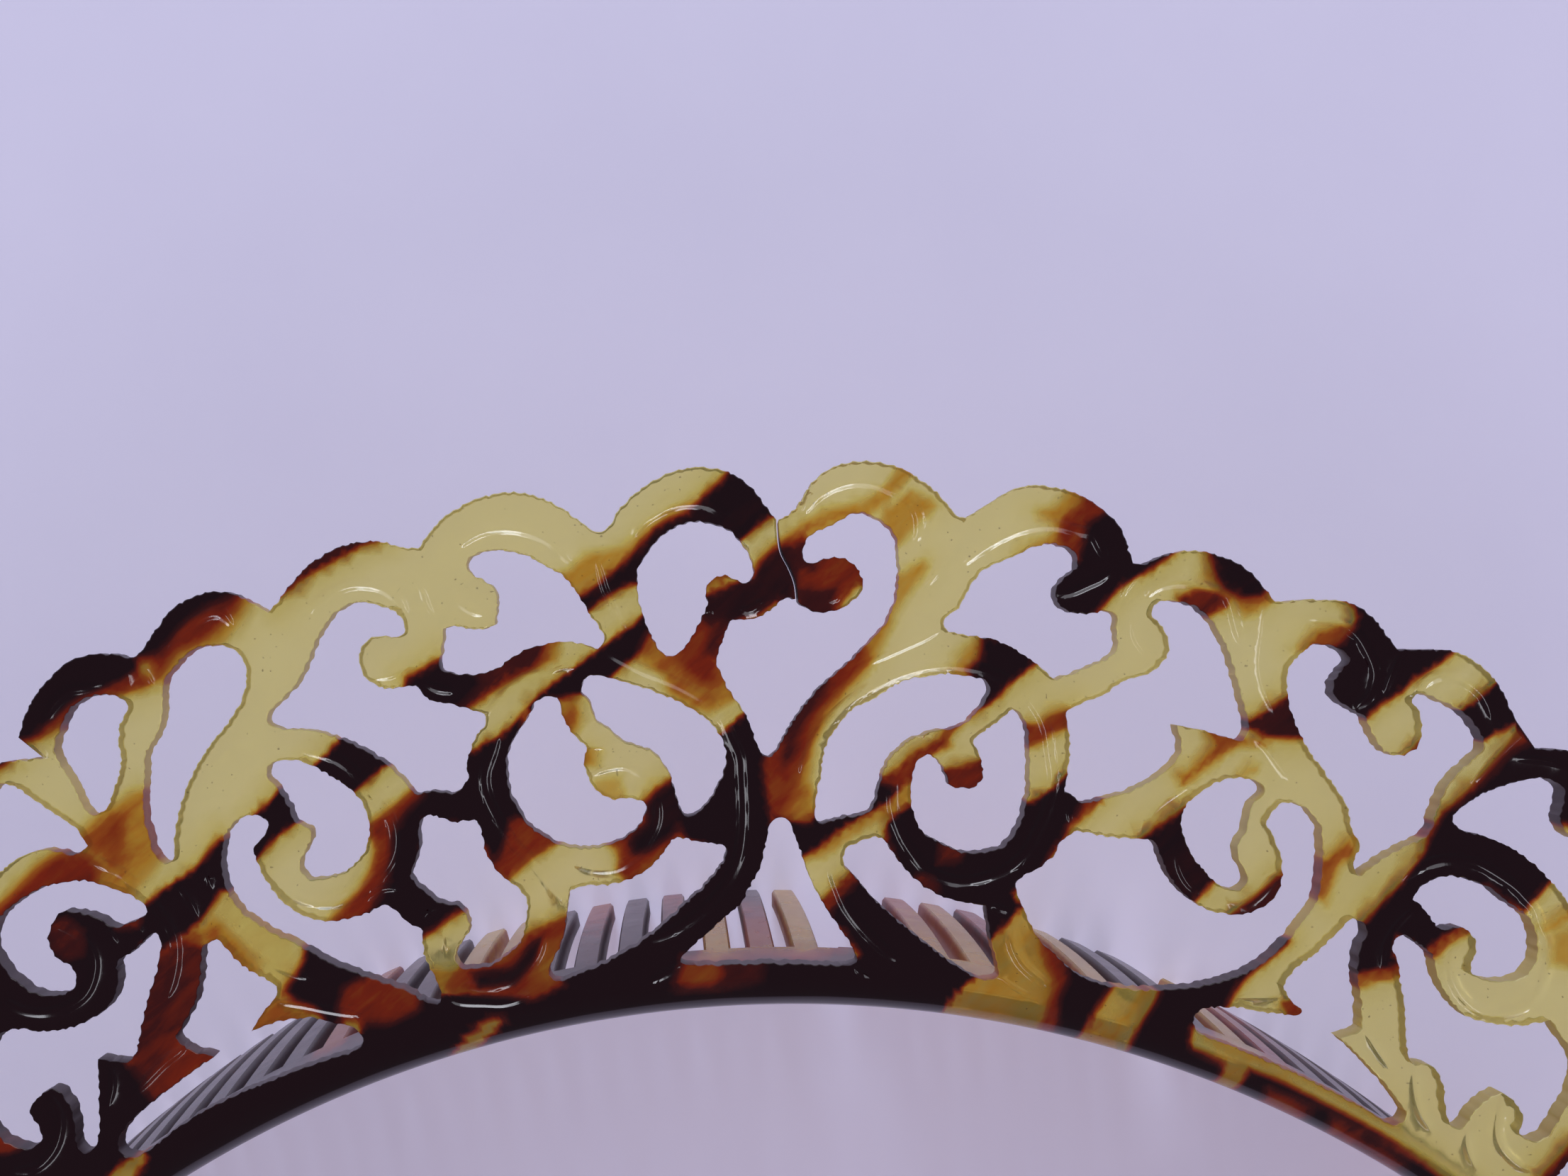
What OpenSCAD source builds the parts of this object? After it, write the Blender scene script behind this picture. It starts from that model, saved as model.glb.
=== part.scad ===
// Headband comb: an openwork crest of scrolls, a band and a curved row of
// teeth, all in one bent and pierced sheet. It stands on its tooth tips, with
// the crest lying flat on top and the arch open towards -Y.

/* [Sheet] */
// Thickness of the sheet
sheet = 2; // [1.6:0.1:2.1]
// Inner radius of the bend between crest and flange
bend_inside = 0.4; // [0.2:0.1:0.4]

/* [Arch] */
// Inner radius of the arch, where it sits on the head
arch_radius = 82.8; // [77:0.1:91]
// Half of the angle that the arch covers
arch_half = 70; // [69:0.5:74]
// Width of the plain band under the piercings
band_width = 2.9; // [2.7:0.05:2.9]

/* [Crest] */
// Height of the crest over the band's inner edge, in the middle
crest_height = 38.8; // [34:0.2:42]
// Width of the split that parts the two middle scrolls
split_width = 0.16; // [0.1:0.02:0.3]

/* [Teeth] */
// Full depth of the comb, from the crest's face to the tooth tips
comb_depth = 42; // [38:0.2:46]
// Depth of the solid flange over the teeth
flange_depth = 10.6; // [8:0.2:13]
// Distance from one tooth to the next, along the arch
tooth_pitch = 3.3; // [3.1:0.02:3.6]
// Width of the gap between two teeth
gap_width = 1.28; // [1:0.02:1.4]
// How far a tooth bows outwards halfway down
tooth_bow = 0.8; // [0.4:0.1:1.4]
// How far the tips lean out, away from the head
tip_lean = 1.1; // [0.4:0.1:1.8]

/* [Hidden] */
fine = 360;
// longest straight piece of a smooth outline
curve_step = 1.2;
bend_radius = sheet + bend_inside;
// how far outside the bend the crest's plate begins, inside the band
seam = 0.05;
// radius and height of the crest that the outlines are charted on, and how far
// over the band's inner edge the chart's y begins
chart_radius = 82.8;
chart_height = 38.8;
chart_start = 0.4;
// the crest loses this much height 28 degrees out, and by the square of the angle
chart_fall = 5.5;
chart_fall_angle = 28;
// valleys where the hidden ends begin, the lobes on each, and the share that a valley dips
left_valley = 26.9;
right_valley = 26.3;
end_lobes = 7;
lobe_steps = 8;
lobe_taper = 1.2;
valley_dip = 0.12;
// rim kept over the piercings of the hidden ends, and how far they stay off the band
end_rim = 2.6;
foot_rise = 0.4;
// angle past each end that the sheet is made with, before both ends are cut off square
end_spare = 1;
tooth_angle = tooth_pitch / (arch_radius + sheet / 2) * 180 / PI;
// angle of the tooth nearest the middle, and the least angle of an end tooth
first_tooth = 0.93;
end_tooth_angle = 1.3;
// teeth that are broken off short, as [number from the middle, length of the stump]
broken_teeth = [[1, 0.4], [10, 18.6]];
// width of a tip's flat end, height of its rounding, and how much thinner the tip is
tip_flat = 0.8;
tip_round = 1.1;
tooth_thin = 0.3;
bow_steps = 7;
amber = [0.80, 0.62, 0.26];

// Piercings, a closed outline each, as [x, y, corner]. x is measured from the
// middle and y from chart_start over the band's inner edge there, at the charted
// size. A point with a third value is a sharp corner, and the others are rounded.
PIERCINGS = [
    // heart between the two middle scrolls
    [[0.6, 32.3], [1.0, 33.0], [2.6, 33.8], [4.3, 34.6], [5.7, 34.2], [6.8, 33.2],
     [7.15, 31.8], [7.05, 29.2], [6.3, 27.0], [4.8, 25.3], [3.2, 23.8], [1.5, 22.3],
     [0.5, 21.1], [-0.6, 19.5], [-1.6, 17.75], [-2.4, 17.7], [-2.9, 18.9], [-3.6, 20.6],
     [-4.8, 22.4], [-5.3, 23.5], [-5.6, 24.2], [-5.2, 25.5], [-4.9, 26.4], [-4.6, 27.1, 1],
     [-2.9, 27.2], [-1.7, 27.8], [-1.1, 28.4], [-0.5, 28.7], [0.1, 28.3], [1.0, 27.75],
     [2.1, 27.6], [3.4, 28.0], [4.5, 28.9], [4.75, 29.9], [4.2, 31.0], [3.2, 31.6],
     [2.0, 31.5], [1.0, 31.15], [0.5, 31.6]],
    // drop in the left middle scroll
    [[-6.6, 34.0], [-4.9, 33.45], [-3.6, 32.1], [-3.1, 30.9], [-3.1, 30.2], [-3.7, 29.75],
     [-4.9, 30.35], [-6.0, 30.0], [-6.45, 29.2], [-6.4, 28.2], [-6.9, 27.0], [-7.7, 25.6],
     [-8.3, 24.85], [-9.0, 24.6], [-9.7, 25.2], [-10.5, 26.8], [-11.1, 28.7], [-11.1, 30.6],
     [-10.6, 31.7], [-9.5, 33.0], [-8.1, 33.8]],
    // left second lobe
    [[-23.2, 31.3], [-22.2, 31.85], [-21.0, 32.0], [-19.4, 31.7], [-17.9, 31.0], [-16.6, 30.2],
     [-15.6, 29.1], [-15.0, 28.1], [-14.4, 27.1], [-13.8, 26.3], [-13.55, 25.7, 1],
     [-14.1, 25.1, 1], [-15.2, 25.5], [-16.4, 25.65], [-18.0, 25.4], [-19.3, 25.0],
     [-20.4, 24.3], [-21.1, 23.8], [-22.2, 23.4], [-24.0, 23.4], [-25.0, 23.6], [-25.1, 24.2],
     [-24.9, 25.4], [-24.9, 26.5, 1], [-24.1, 26.65], [-22.7, 26.4], [-21.3, 26.7],
     [-21.05, 28.0], [-21.2, 29.2], [-22.0, 30.0], [-23.0, 30.5]],
    // left third lobe
    [[-30.8, 28.35], [-29.3, 28.0], [-28.1, 27.4], [-27.65, 26.4], [-28.2, 25.95],
     [-29.6, 26.05], [-30.6, 25.5], [-30.9, 24.4], [-30.5, 23.1], [-29.2, 22.25],
     [-28.0, 22.3], [-26.9, 22.45, 1], [-26.0, 21.5], [-24.4, 21.1], [-22.7, 20.65],
     [-22.1, 20.5], [-22.0, 19.8], [-22.8, 18.7], [-23.3, 17.0], [-23.3, 15.9], [-24.0, 15.0],
     [-25.5, 15.1], [-26.9, 15.0], [-28.0, 16.2], [-29.5, 17.4], [-31.9, 18.7], [-34.0, 19.3],
     [-36.8, 19.6], [-37.3, 20.3], [-36.8, 21.0], [-35.7, 22.0], [-34.5, 23.9], [-33.5, 26.3],
     [-32.2, 27.8]],
    // left long drop
    [[-41.2, 25.25], [-40.0, 25.1], [-39.2, 24.5], [-38.85, 23.3], [-39.2, 21.6],
     [-40.2, 19.9], [-41.5, 18.2], [-42.7, 16.2], [-43.6, 13.8], [-43.95, 11.9],
     [-43.95, 10.4], [-44.5, 9.95], [-45.1, 10.4], [-45.6, 11.8], [-46.0, 13.8], [-45.9, 16.0],
     [-45.8, 17.7], [-45.0, 19.2], [-44.65, 20.7], [-44.6, 22.7], [-43.6, 24.0], [-42.5, 25.0]],
    // left short drop
    [[-48.5, 21.8], [-47.8, 21.6], [-47.2, 21.0], [-47.8, 19.8], [-47.9, 18.6], [-47.75, 17.0],
     [-48.2, 15.2], [-48.7, 13.9], [-49.6, 13.4], [-50.2, 13.9], [-51.0, 15.5], [-51.8, 16.8],
     [-52.3, 17.9], [-52.0, 19.0], [-51.4, 20.5], [-50.2, 21.5]],
    // left outer lobe
    [[-50.0, 11.2, 1], [-50.9, 10.65], [-52.7, 10.95], [-54.5, 10.55], [-56.0, 9.6],
     [-57.1, 8.5], [-58.0, 8.1], [-58.6, 8.9], [-58.5, 10.6], [-58.0, 12.4], [-57.2, 14.2],
     [-56.2, 15.5], [-54.9, 15.1], [-53.0, 13.8], [-51.2, 12.6]],
    // left outer ring
    [[-50.6, 8.65], [-48.8, 8.3], [-47.0, 7.6], [-45.85, 6.7], [-46.6, 6.0], [-48.2, 5.5],
     [-49.2, 6.1], [-50.6, 6.55], [-51.9, 6.55], [-52.6, 5.6], [-52.9, 4.5], [-52.3, 3.3],
     [-51.2, 2.6], [-50.85, 1.8], [-51.4, 0.95], [-52.8, 0.65], [-54.5, 1.3], [-56.0, 2.8],
     [-56.7, 4.5], [-56.2, 6.0], [-54.6, 7.4], [-52.8, 8.3]],
    // left outer base gap
    [[-45.4, 5.0], [-44.9, 4.4], [-45.1, 2.8], [-45.7, 0.8], [-46.3, -1.5], [-46.65, -3.3],
     [-47.2, -4.1, 1], [-48.6, -3.9], [-49.3, -3.8, 1], [-49.3, -6.0], [-49.25, -8.5],
     [-49.5, -10.0], [-50.2, -10.5], [-50.7, -9.9], [-50.9, -8.0], [-51.5, -6.6], [-52.4, -5.9],
     [-53.5, -6.5], [-54.15, -7.6], [-53.6, -8.6], [-53.3, -9.5], [-54.2, -10.15],
     [-55.6, -9.7], [-56.9, -8.5], [-57.8, -6.8], [-57.7, -4.9], [-56.9, -3.2], [-56.0, -2.1],
     [-54.8, -1.8], [-53.2, -2.0], [-51.4, -1.8], [-49.6, -1.0], [-48.3, 0.1], [-47.8, 1.6],
     [-47.8, 3.0], [-46.6, 3.8]],
    // left inner ring
    [[-37.1, 16.9], [-36.1, 17.2], [-34.6, 16.95], [-33.0, 16.1], [-31.6, 15.2], [-30.6, 14.0],
     [-30.15, 12.5], [-30.5, 10.9], [-31.5, 9.7], [-33.0, 9.0], [-34.4, 8.95], [-35.0, 9.7],
     [-34.6, 10.7], [-34.2, 11.7], [-34.4, 12.5], [-35.4, 13.0], [-35.8, 14.1], [-36.6, 15.3],
     [-37.3, 16.2]],
    // left wide gap under the inner ring
    [[-38.6, 13.3], [-39.6, 12.8], [-40.3, 11.7], [-40.5, 10.0], [-40.1, 8.1], [-39.0, 6.5],
     [-37.0, 5.2], [-35.0, 4.2], [-32.7, 2.9], [-30.2, 2.0], [-27.9, 1.2], [-25.7, 0.1],
     [-25.1, 0.6], [-25.5, 1.8], [-26.3, 3.3], [-26.45, 5.2, 1], [-27.5, 5.8], [-28.9, 6.9],
     [-30.4, 6.3], [-32.6, 5.8], [-34.8, 6.2], [-36.6, 7.5], [-37.8, 9.3], [-38.35, 10.9],
     [-37.7, 11.8], [-37.3, 12.6], [-37.6, 13.1]],
    // left gap along the band
    [[-41.1, 4.5], [-40.7, 4.4], [-39.9, 3.4], [-38.7, 2.35], [-37.3, 1.6], [-36.7, 1.2],
     [-36.8, 0.5], [-37.7, -0.6], [-38.5, -1.95, 1], [-37.0, -1.4], [-34.3, -1.0],
     [-32.5, -1.4], [-31.3, -1.65], [-30.6, -2.5], [-31.2, -3.2], [-33.5, -4.0], [-37.0, -5.3],
     [-40.3, -6.7], [-43.0, -8.2], [-45.6, -10.1], [-46.6, -10.7], [-47.5, -10.5], [-47.8, -9.7],
     [-47.3, -8.8], [-46.3, -7.7], [-44.3, -6.1], [-42.3, -4.6], [-41.0, -3.7, 1],
     [-43.0, -3.0], [-43.8, -2.3, 1], [-43.0, -1.2], [-42.2, 0.6], [-41.9, 2.6],
     [-41.9, 4.0, 1]],
    // left curl gap at the band
    [[-25.8, 13.3], [-26.5, 12.9], [-26.6, 12.0], [-26.6, 10.8], [-27.15, 9.3], [-26.8, 8.6],
     [-25.3, 7.3], [-24.0, 7.1], [-23.2, 6.3], [-23.0, 5.2], [-23.8, 4.0], [-24.05, 3.2],
     [-23.5, 2.6], [-22.0, 2.7], [-20.6, 3.4], [-19.5, 4.5], [-19.1, 6.0], [-19.1, 7.3],
     [-19.9, 8.3], [-21.2, 9.4], [-22.0, 10.8], [-22.3, 12.2], [-22.6, 13.0, 1],
     [-24.2, 12.8]],
    // middle left ring, its inner part
    [[-16.9, 21.6], [-18.2, 21.4], [-18.8, 20.4], [-20.1, 18.4], [-20.4, 16.8], [-20.2, 15.2],
     [-19.5, 13.6], [-18.5, 12.4], [-16.8, 11.4], [-15.0, 11.1], [-13.0, 11.4], [-11.5, 12.3],
     [-10.8, 13.3], [-10.65, 14.1], [-11.8, 14.5], [-13.1, 14.4], [-14.4, 15.4],
     [-15.05, 17.0], [-14.9, 18.1], [-15.9, 19.1], [-16.6, 20.5]],
    // middle left ring, its outer part
    [[-14.3, 23.2], [-12.5, 22.8], [-10.3, 22.1], [-8.2, 21.2], [-6.3, 20.0], [-5.3, 18.6],
     [-5.05, 17.1], [-5.7, 15.2], [-6.9, 13.6], [-7.9, 13.4], [-8.35, 14.6], [-8.9, 16.3],
     [-10.2, 17.9], [-12.2, 18.6], [-13.1, 19.4], [-14.1, 20.1], [-14.6, 21.4], [-15.1, 22.1],
     [-14.9, 22.9]],
    // gap beside the left leg
    [[-8.6, 11.65], [-7.0, 11.45], [-5.9, 11.3], [-5.1, 11.15], [-4.95, 10.7], [-5.4, 9.8],
     [-6.5, 8.4], [-7.9, 7.1], [-9.6, 5.5], [-11.4, 4.2], [-13.3, 3.1], [-15.2, 2.3],
     [-16.6, 1.7], [-17.4, 2.1], [-17.2, 2.9], [-16.6, 4.1], [-16.2, 5.7], [-16.05, 7.3],
     [-15.85, 8.05, 1], [-14.9, 8.3], [-13.2, 8.35], [-11.6, 8.8], [-10.1, 9.8], [-9.1, 10.9]],
    // window between the two legs
    [[-1.6, 13.0], [-0.7, 13.05], [-0.3, 12.3], [0.5, 10.1], [1.3, 8.1], [2.5, 6.1],
     [3.6, 4.5], [4.15, 3.5], [4.1, 2.95], [3.4, 2.8], [2.2, 2.85], [0.6, 2.9], [-2.0, 2.95],
     [-5.5, 2.85], [-7.8, 2.85], [-8.1, 3.2], [-7.6, 3.8], [-6.0, 5.2], [-4.8, 6.3],
     [-3.8, 7.1], [-3.3, 8.1], [-2.5, 9.6], [-2.15, 11.1], [-1.85, 12.4]],
    // gap beside the right leg
    [[5.6, 11.75], [4.4, 11.35], [3.55, 10.85], [3.45, 9.9], [4.4, 8.8], [5.5, 7.5],
     [7.5, 5.7], [9.5, 4.1], [11.3, 2.75], [12.5, 2.05], [13.4, 1.8], [14.1, 1.9], [14.2, 2.5],
     [13.8, 4.0], [13.5, 5.6], [13.35, 6.9, 1], [11.6, 7.2], [9.9, 7.7], [8.4, 8.7],
     [7.0, 10.3], [6.3, 11.4]],
    // middle right ring, its outer part
    [[3.9, 20.7], [5.5, 21.5], [7.5, 22.7], [9.4, 23.1], [10.8, 23.25], [12.3, 23.05],
     [13.3, 22.8], [13.65, 22.2], [13.2, 21.3], [12.2, 20.2], [11.3, 19.6], [9.8, 19.35],
     [8.3, 18.9], [7.1, 18.0], [6.2, 16.8], [5.75, 15.2], [5.3, 13.9], [4.6, 13.4],
     [3.2, 13.25], [1.8, 12.85], [1.35, 13.3], [1.5, 14.8], [1.85, 16.2], [1.9, 17.2],
     [2.5, 18.9]],
    // middle right ring, its inner part
    [[15.4, 20.8], [14.5, 20.1], [13.4, 19.3], [12.55, 18.6], [13.0, 17.6], [13.25, 16.1],
     [12.5, 15.25], [10.9, 15.35], [10.2, 16.8], [9.4, 17.5], [8.6, 17.1], [8.2, 15.8],
     [8.15, 14.4], [8.7, 12.6], [9.9, 11.6], [11.6, 10.85], [13.3, 10.8], [14.6, 11.2],
     [15.6, 12.5], [16.2, 14.3], [16.4, 16.2], [16.35, 18.5], [16.1, 19.9]],
    // right second lobe
    [[17.3, 32.35], [18.4, 32.35], [19.5, 32.0], [19.8, 31.3], [19.5, 30.6], [18.6, 29.9],
     [18.25, 29.0], [18.6, 28.1], [19.5, 27.55], [20.8, 27.5], [21.8, 27.7], [22.6, 27.4],
     [22.5, 26.3], [22.65, 25.2], [22.0, 24.5], [20.3, 23.7], [18.9, 23.2], [18.3, 22.9, 1],
     [17.3, 23.8], [15.8, 24.9], [14.0, 25.8], [11.8, 26.15], [10.6, 26.5], [10.6, 27.3],
     [11.4, 27.8], [12.2, 29.2], [13.2, 30.5], [14.7, 31.3]],
    // right third lobe
    [[26.0, 28.45], [27.3, 28.3], [28.6, 27.7], [29.5, 26.7], [30.4, 25.0], [31.0, 23.0],
     [31.5, 21.2], [31.85, 19.9], [31.7, 19.0], [31.3, 18.65], [29.8, 19.05], [28.3, 19.5],
     [26.8, 19.7, 1], [27.1, 18.3], [26.8, 17.3], [25.8, 16.3], [24.2, 15.4], [22.4, 14.75],
     [20.9, 14.4], [20.1, 14.3], [19.4, 14.9], [19.0, 15.1], [19.2, 16.3], [19.4, 18.0],
     [19.25, 19.5], [19.1, 20.6], [20.0, 21.1], [21.9, 21.9], [23.2, 22.8], [25.0, 23.35],
     [26.1, 24.3], [26.4, 25.4], [25.8, 26.8], [25.15, 27.4], [25.3, 28.1]],
    // right long gap
    [[36.1, 25.1], [37.3, 25.3], [38.4, 24.95], [39.05, 24.3], [38.4, 23.6], [37.8, 22.6],
     [38.0, 21.6], [39.0, 20.9], [40.1, 20.2, 1], [40.6, 19.1], [41.4, 17.85], [42.5, 17.45],
     [43.7, 17.9], [44.2, 19.0], [44.1, 20.5], [43.5, 21.4], [44.1, 21.9], [45.4, 21.4],
     [47.0, 20.6], [47.9, 19.6], [48.4, 18.2], [47.1, 16.8], [45.9, 15.4], [45.0, 13.5],
     [44.6, 12.1], [43.1, 11.3], [41.3, 10.3], [40.3, 9.5], [39.7, 9.1], [39.35, 9.9],
     [39.85, 11.2], [39.3, 12.2], [39.0, 13.8], [37.8, 15.8], [36.3, 17.9], [35.2, 20.1],
     [34.75, 21.9], [34.8, 23.6]],
    // right open curl
    [[27.5, 13.9], [28.4, 14.8], [29.8, 15.6], [31.4, 15.9], [32.7, 15.6], [33.0, 14.9],
     [32.2, 14.2], [31.85, 13.0], [31.7, 12.2], [31.15, 11.3], [31.2, 10.2], [31.75, 9.1],
     [31.5, 8.3], [30.9, 8.1], [29.9, 8.45], [29.0, 9.3], [28.0, 10.5], [27.4, 11.9],
     [27.25, 13.0]],
    // right wide gap under the open curl
    [[15.55, 8.1], [15.9, 8.9], [17.2, 9.6], [18.2, 10.4], [18.6, 11.3], [19.3, 11.9],
     [20.2, 12.1], [22.0, 11.7], [23.6, 11.65], [25.1, 11.6, 1], [25.7, 10.4], [26.3, 9.0],
     [27.5, 7.6], [28.8, 6.7], [30.3, 6.3], [32.0, 6.4], [33.5, 7.2], [34.3, 8.6],
     [34.3, 10.3], [33.7, 11.9], [33.3, 12.8], [33.8, 13.7], [34.7, 14.15], [36.0, 13.7],
     [36.9, 12.6], [37.1, 11.0], [37.0, 9.0], [36.6, 7.2], [35.4, 5.5], [33.7, 3.6],
     [31.6, 2.25], [29.2, 1.5], [26.5, 1.1], [23.7, 1.15], [21.5, 1.5], [19.9, 2.15],
     [18.5, 3.4], [17.2, 4.6], [16.4, 6.1]],
    // right gap along the band
    [[28.1, -1.1], [28.5, -0.5], [29.6, -0.3], [31.5, -0.35], [33.5, -0.7], [35.3, -0.8],
     [35.7, -0.4], [35.1, 0.1], [34.6, 0.9], [34.6, 1.6], [35.4, 2.5], [37.0, 3.8],
     [38.5, 5.3], [39.3, 6.0], [40.2, 5.3], [39.7, 3.8], [39.5, 2.0], [39.8, 0.0],
     [39.9, -1.8, 1], [38.3, -2.4, 1], [39.6, -3.6], [41.2, -5.3], [42.5, -6.9], [43.0, -7.8],
     [42.5, -8.4], [41.7, -8.3], [40.2, -7.35], [37.6, -5.95], [34.6, -4.5], [31.4, -3.15],
     [29.1, -2.3], [28.3, -1.8]],
    // right outer base gap
    [[42.7, 4.85], [43.5, 4.5], [44.8, 3.4], [45.2, 2.0], [45.9, 0.6], [47.1, -0.8],
     [48.5, -1.3], [50.6, -1.6], [52.4, -1.4], [53.2, -1.2], [53.9, -2.2], [54.9, -3.6],
     [55.2, -4.8], [54.8, -6.2], [53.9, -7.9], [53.0, -9.2], [52.0, -9.6], [51.1, -9.1],
     [51.35, -8.0], [50.7, -6.8], [49.6, -6.2], [48.4, -6.9], [47.6, -7.8], [47.0, -8.7],
     [46.2, -8.5], [45.9, -7.2], [45.7, -5.5], [45.0, -4.4], [44.2, -4.15], [43.5, -4.1],
     [43.1, -2.5], [43.0, -0.3], [42.7, 1.7], [42.5, 3.1], [42.1, 4.0]],
    // right outer ring
    [[43.5, 7.4], [44.2, 8.3], [45.6, 8.95], [47.4, 8.75], [49.0, 8.1], [50.4, 7.0],
     [51.7, 6.0], [52.2, 4.6], [52.1, 3.0], [51.2, 1.95], [49.4, 1.65], [47.9, 2.1],
     [47.7, 2.8], [48.1, 3.8], [47.9, 4.8], [46.9, 5.5], [45.5, 5.35], [44.8, 6.2],
     [43.9, 7.2]],
    // right outer lobe
    [[46.35, 13.1], [47.3, 14.1], [49.0, 15.0], [51.0, 15.7], [52.7, 15.9], [54.1, 15.3],
     [54.1, 14.4], [53.8, 13.2], [54.3, 12.1], [55.4, 11.5], [56.6, 11.6], [57.6, 11.2],
     [57.9, 9.9], [57.4, 8.2], [56.9, 6.4], [56.2, 5.5], [55.3, 6.1], [54.0, 7.9],
     [52.3, 9.8], [50.6, 11.0], [48.6, 11.9], [47.0, 12.35]]
];

// Top outline of the crest from left to right, as [x, y, corner]
TOP = [
    [-54.9, 18.8, 1], [-54.6, 20.1], [-53.9, 21.6], [-52.5, 23.3], [-51.0, 24.4], [-48.9, 24.8],
    [-46.9, 24.5, 1], [-46.2, 25.0], [-45.4, 26.3], [-44.3, 27.7], [-43.0, 28.65], [-41.0, 29.2],
    [-39.2, 28.8], [-37.3, 27.7, 1], [-36.7, 28.4], [-35.8, 29.6], [-34.7, 30.8], [-33.2, 31.9],
    [-31.4, 32.6], [-29.4, 32.75], [-27.9, 32.3], [-26.7, 32.3, 1], [-26.0, 33.2],
    [-24.8, 34.5], [-22.9, 35.6], [-20.6, 36.2], [-18.5, 36.0], [-16.4, 35.0], [-15.1, 34.0],
    [-14.05, 33.35], [-13.2, 33.8], [-12.6, 34.9], [-11.3, 36.2], [-9.6, 37.3], [-7.9, 37.85],
    [-6.2, 37.95], [-4.5, 37.5], [-3.1, 36.5], [-2.1, 35.2], [-1.3, 34.3, 1], [-0.8, 34.45],
    [0.0, 35.2], [1.1, 36.9], [2.3, 37.8], [3.8, 38.35], [5.3, 38.4], [7.0, 38.05],
    [8.8, 37.1], [10.2, 36.0], [11.0, 34.9], [11.6, 34.4], [12.3, 34.6], [13.6, 35.4],
    [15.2, 36.35], [16.9, 36.7], [18.6, 36.5], [20.2, 35.9], [21.7, 34.9], [22.9, 33.7],
    [23.5, 32.2], [23.8, 31.1, 1], [24.8, 31.2], [26.2, 31.8], [28.2, 32.1], [30.2, 31.6],
    [31.8, 30.8], [33.0, 29.5], [33.9, 28.45, 1], [35.8, 28.6], [37.6, 28.6], [39.2, 28.35],
    [40.6, 27.5], [41.6, 26.3], [42.4, 25.1, 1], [44.2, 25.05], [46.3, 25.0], [48.0, 24.2],
    [49.4, 22.9], [50.3, 21.3], [50.85, 20.0, 1]
];

// Split through the middle of the crest, from the outline down to the heart
SPLIT = [[-1.35, 34.9], [-1.3, 33.3], [-1.1, 31.9], [-0.5, 30.7], [-0.1, 29.6], [0.08, 28.0]];

// Scroll openings of the hidden ends, as [share of the motif's angle, share of
// the pierced height]
EYE = [[-0.02, 0.56], [0.12, 0.52], [0.21, 0.40], [0.20, 0.26], [0.10, 0.16], [-0.04, 0.16],
       [-0.12, 0.23], [-0.11, 0.31], [-0.03, 0.30], [0.05, 0.31], [0.09, 0.38], [0.04, 0.45],
       [-0.06, 0.45], [-0.14, 0.42], [-0.19, 0.46], [-0.14, 0.53]];
LEFT_DROP = [[-0.30, 0.97], [-0.19, 0.89], [-0.15, 0.77], [-0.24, 0.66], [-0.34, 0.54],
             [-0.39, 0.42], [-0.43, 0.50], [-0.43, 0.70], [-0.40, 0.88]];
RIGHT_DROP = [[0.22, 0.98], [0.34, 0.91], [0.40, 0.76], [0.38, 0.58], [0.35, 0.44],
              [0.27, 0.56], [0.16, 0.65], [0.02, 0.71], [0.03, 0.83], [0.11, 0.93]];
LEFT_FOOT = [[-0.40, 0.31], [-0.32, 0.19], [-0.20, 0.08], [-0.12, 0.01], [-0.28, 0.00],
             [-0.41, 0.02], [-0.43, 0.16]];
RIGHT_FOOT = [[0.31, 0.20], [0.41, 0.31], [0.43, 0.16], [0.41, 0.02], [0.26, 0.00],
              [0.16, 0.02], [0.24, 0.09]];
TALL_DROP = [[0.0, 0.95], [0.16, 0.82], [0.20, 0.55], [0.10, 0.25], [0.0, 0.06],
             [-0.10, 0.25], [-0.20, 0.55], [-0.16, 0.82]];
FULL = [EYE, LEFT_DROP, RIGHT_DROP, LEFT_FOOT, RIGHT_FOOT];

// Motifs of the hidden ends, as [angle, angle covered, lowest share of the
// pierced height, openings]
END_MOTIFS = [
    [-64.2, 5.2, 0, [TALL_DROP]],
    [-59.8, 5.8, 0, [TALL_DROP]],
    [-52.8, 9.6, 0, FULL],
    [-42.9, 10.2, 0, FULL],
    [-36.1, 5.8, 0.45, [TALL_DROP]],
    [34.6, 5.6, 0.45, [TALL_DROP]],
    [41.6, 10.4, 0, FULL],
    [51.6, 9.6, 0, FULL],
    [58.7, 5.8, 0, [TALL_DROP]],
    [63.2, 5.2, 0, [TALL_DROP]]
];

function height_at(a) = chart_height - chart_fall * pow(a / chart_fall_angle, 2);

// A charted point, moved to the arch's own radius and the crest's own height.
// The arch's centre is the origin here.
function placed(p) =
    let (y = p[1] + chart_radius + chart_start)
    polar(atan2(p[0], y), norm([p[0], y]) - chart_radius);
function polar(a, h) =
    let (over = max(0, h - band_width),
         scaled = h + over * (crest_height / chart_height - 1),
         turn = a * chart_radius / arch_radius)
    [(arch_radius + scaled) * sin(turn), (arch_radius + scaled) * cos(turn)];

// A smooth curve through the points, which breaks at the marked corners
function spline(p0, p1, p2, p3, t) =
    0.5 * (2 * p1 + (p2 - p0) * t + (2 * p0 - 5 * p1 + 4 * p2 - p3) * t * t
           + (3 * p1 - p0 - 3 * p2 + p3) * t * t * t);
function flat(p) = [p[0], p[1]];
function span(rows, i, closed) =
    let (n = len(rows),
         a = rows[i],
         b = rows[(i + 1) % n],
         p1 = flat(a),
         p2 = flat(b),
         p0 = len(a) > 2 || (!closed && i == 0) ? 2 * p1 - p2 : flat(rows[(i + n - 1) % n]),
         p3 = len(b) > 2 || (!closed && i == n - 2) ? 2 * p2 - p1 : flat(rows[(i + 2) % n]),
         steps = max(1, ceil(norm(p2 - p1) / curve_step)))
    [for (k = [0 : steps - 1]) spline(p0, p1, p2, p3, k / steps)];
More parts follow.
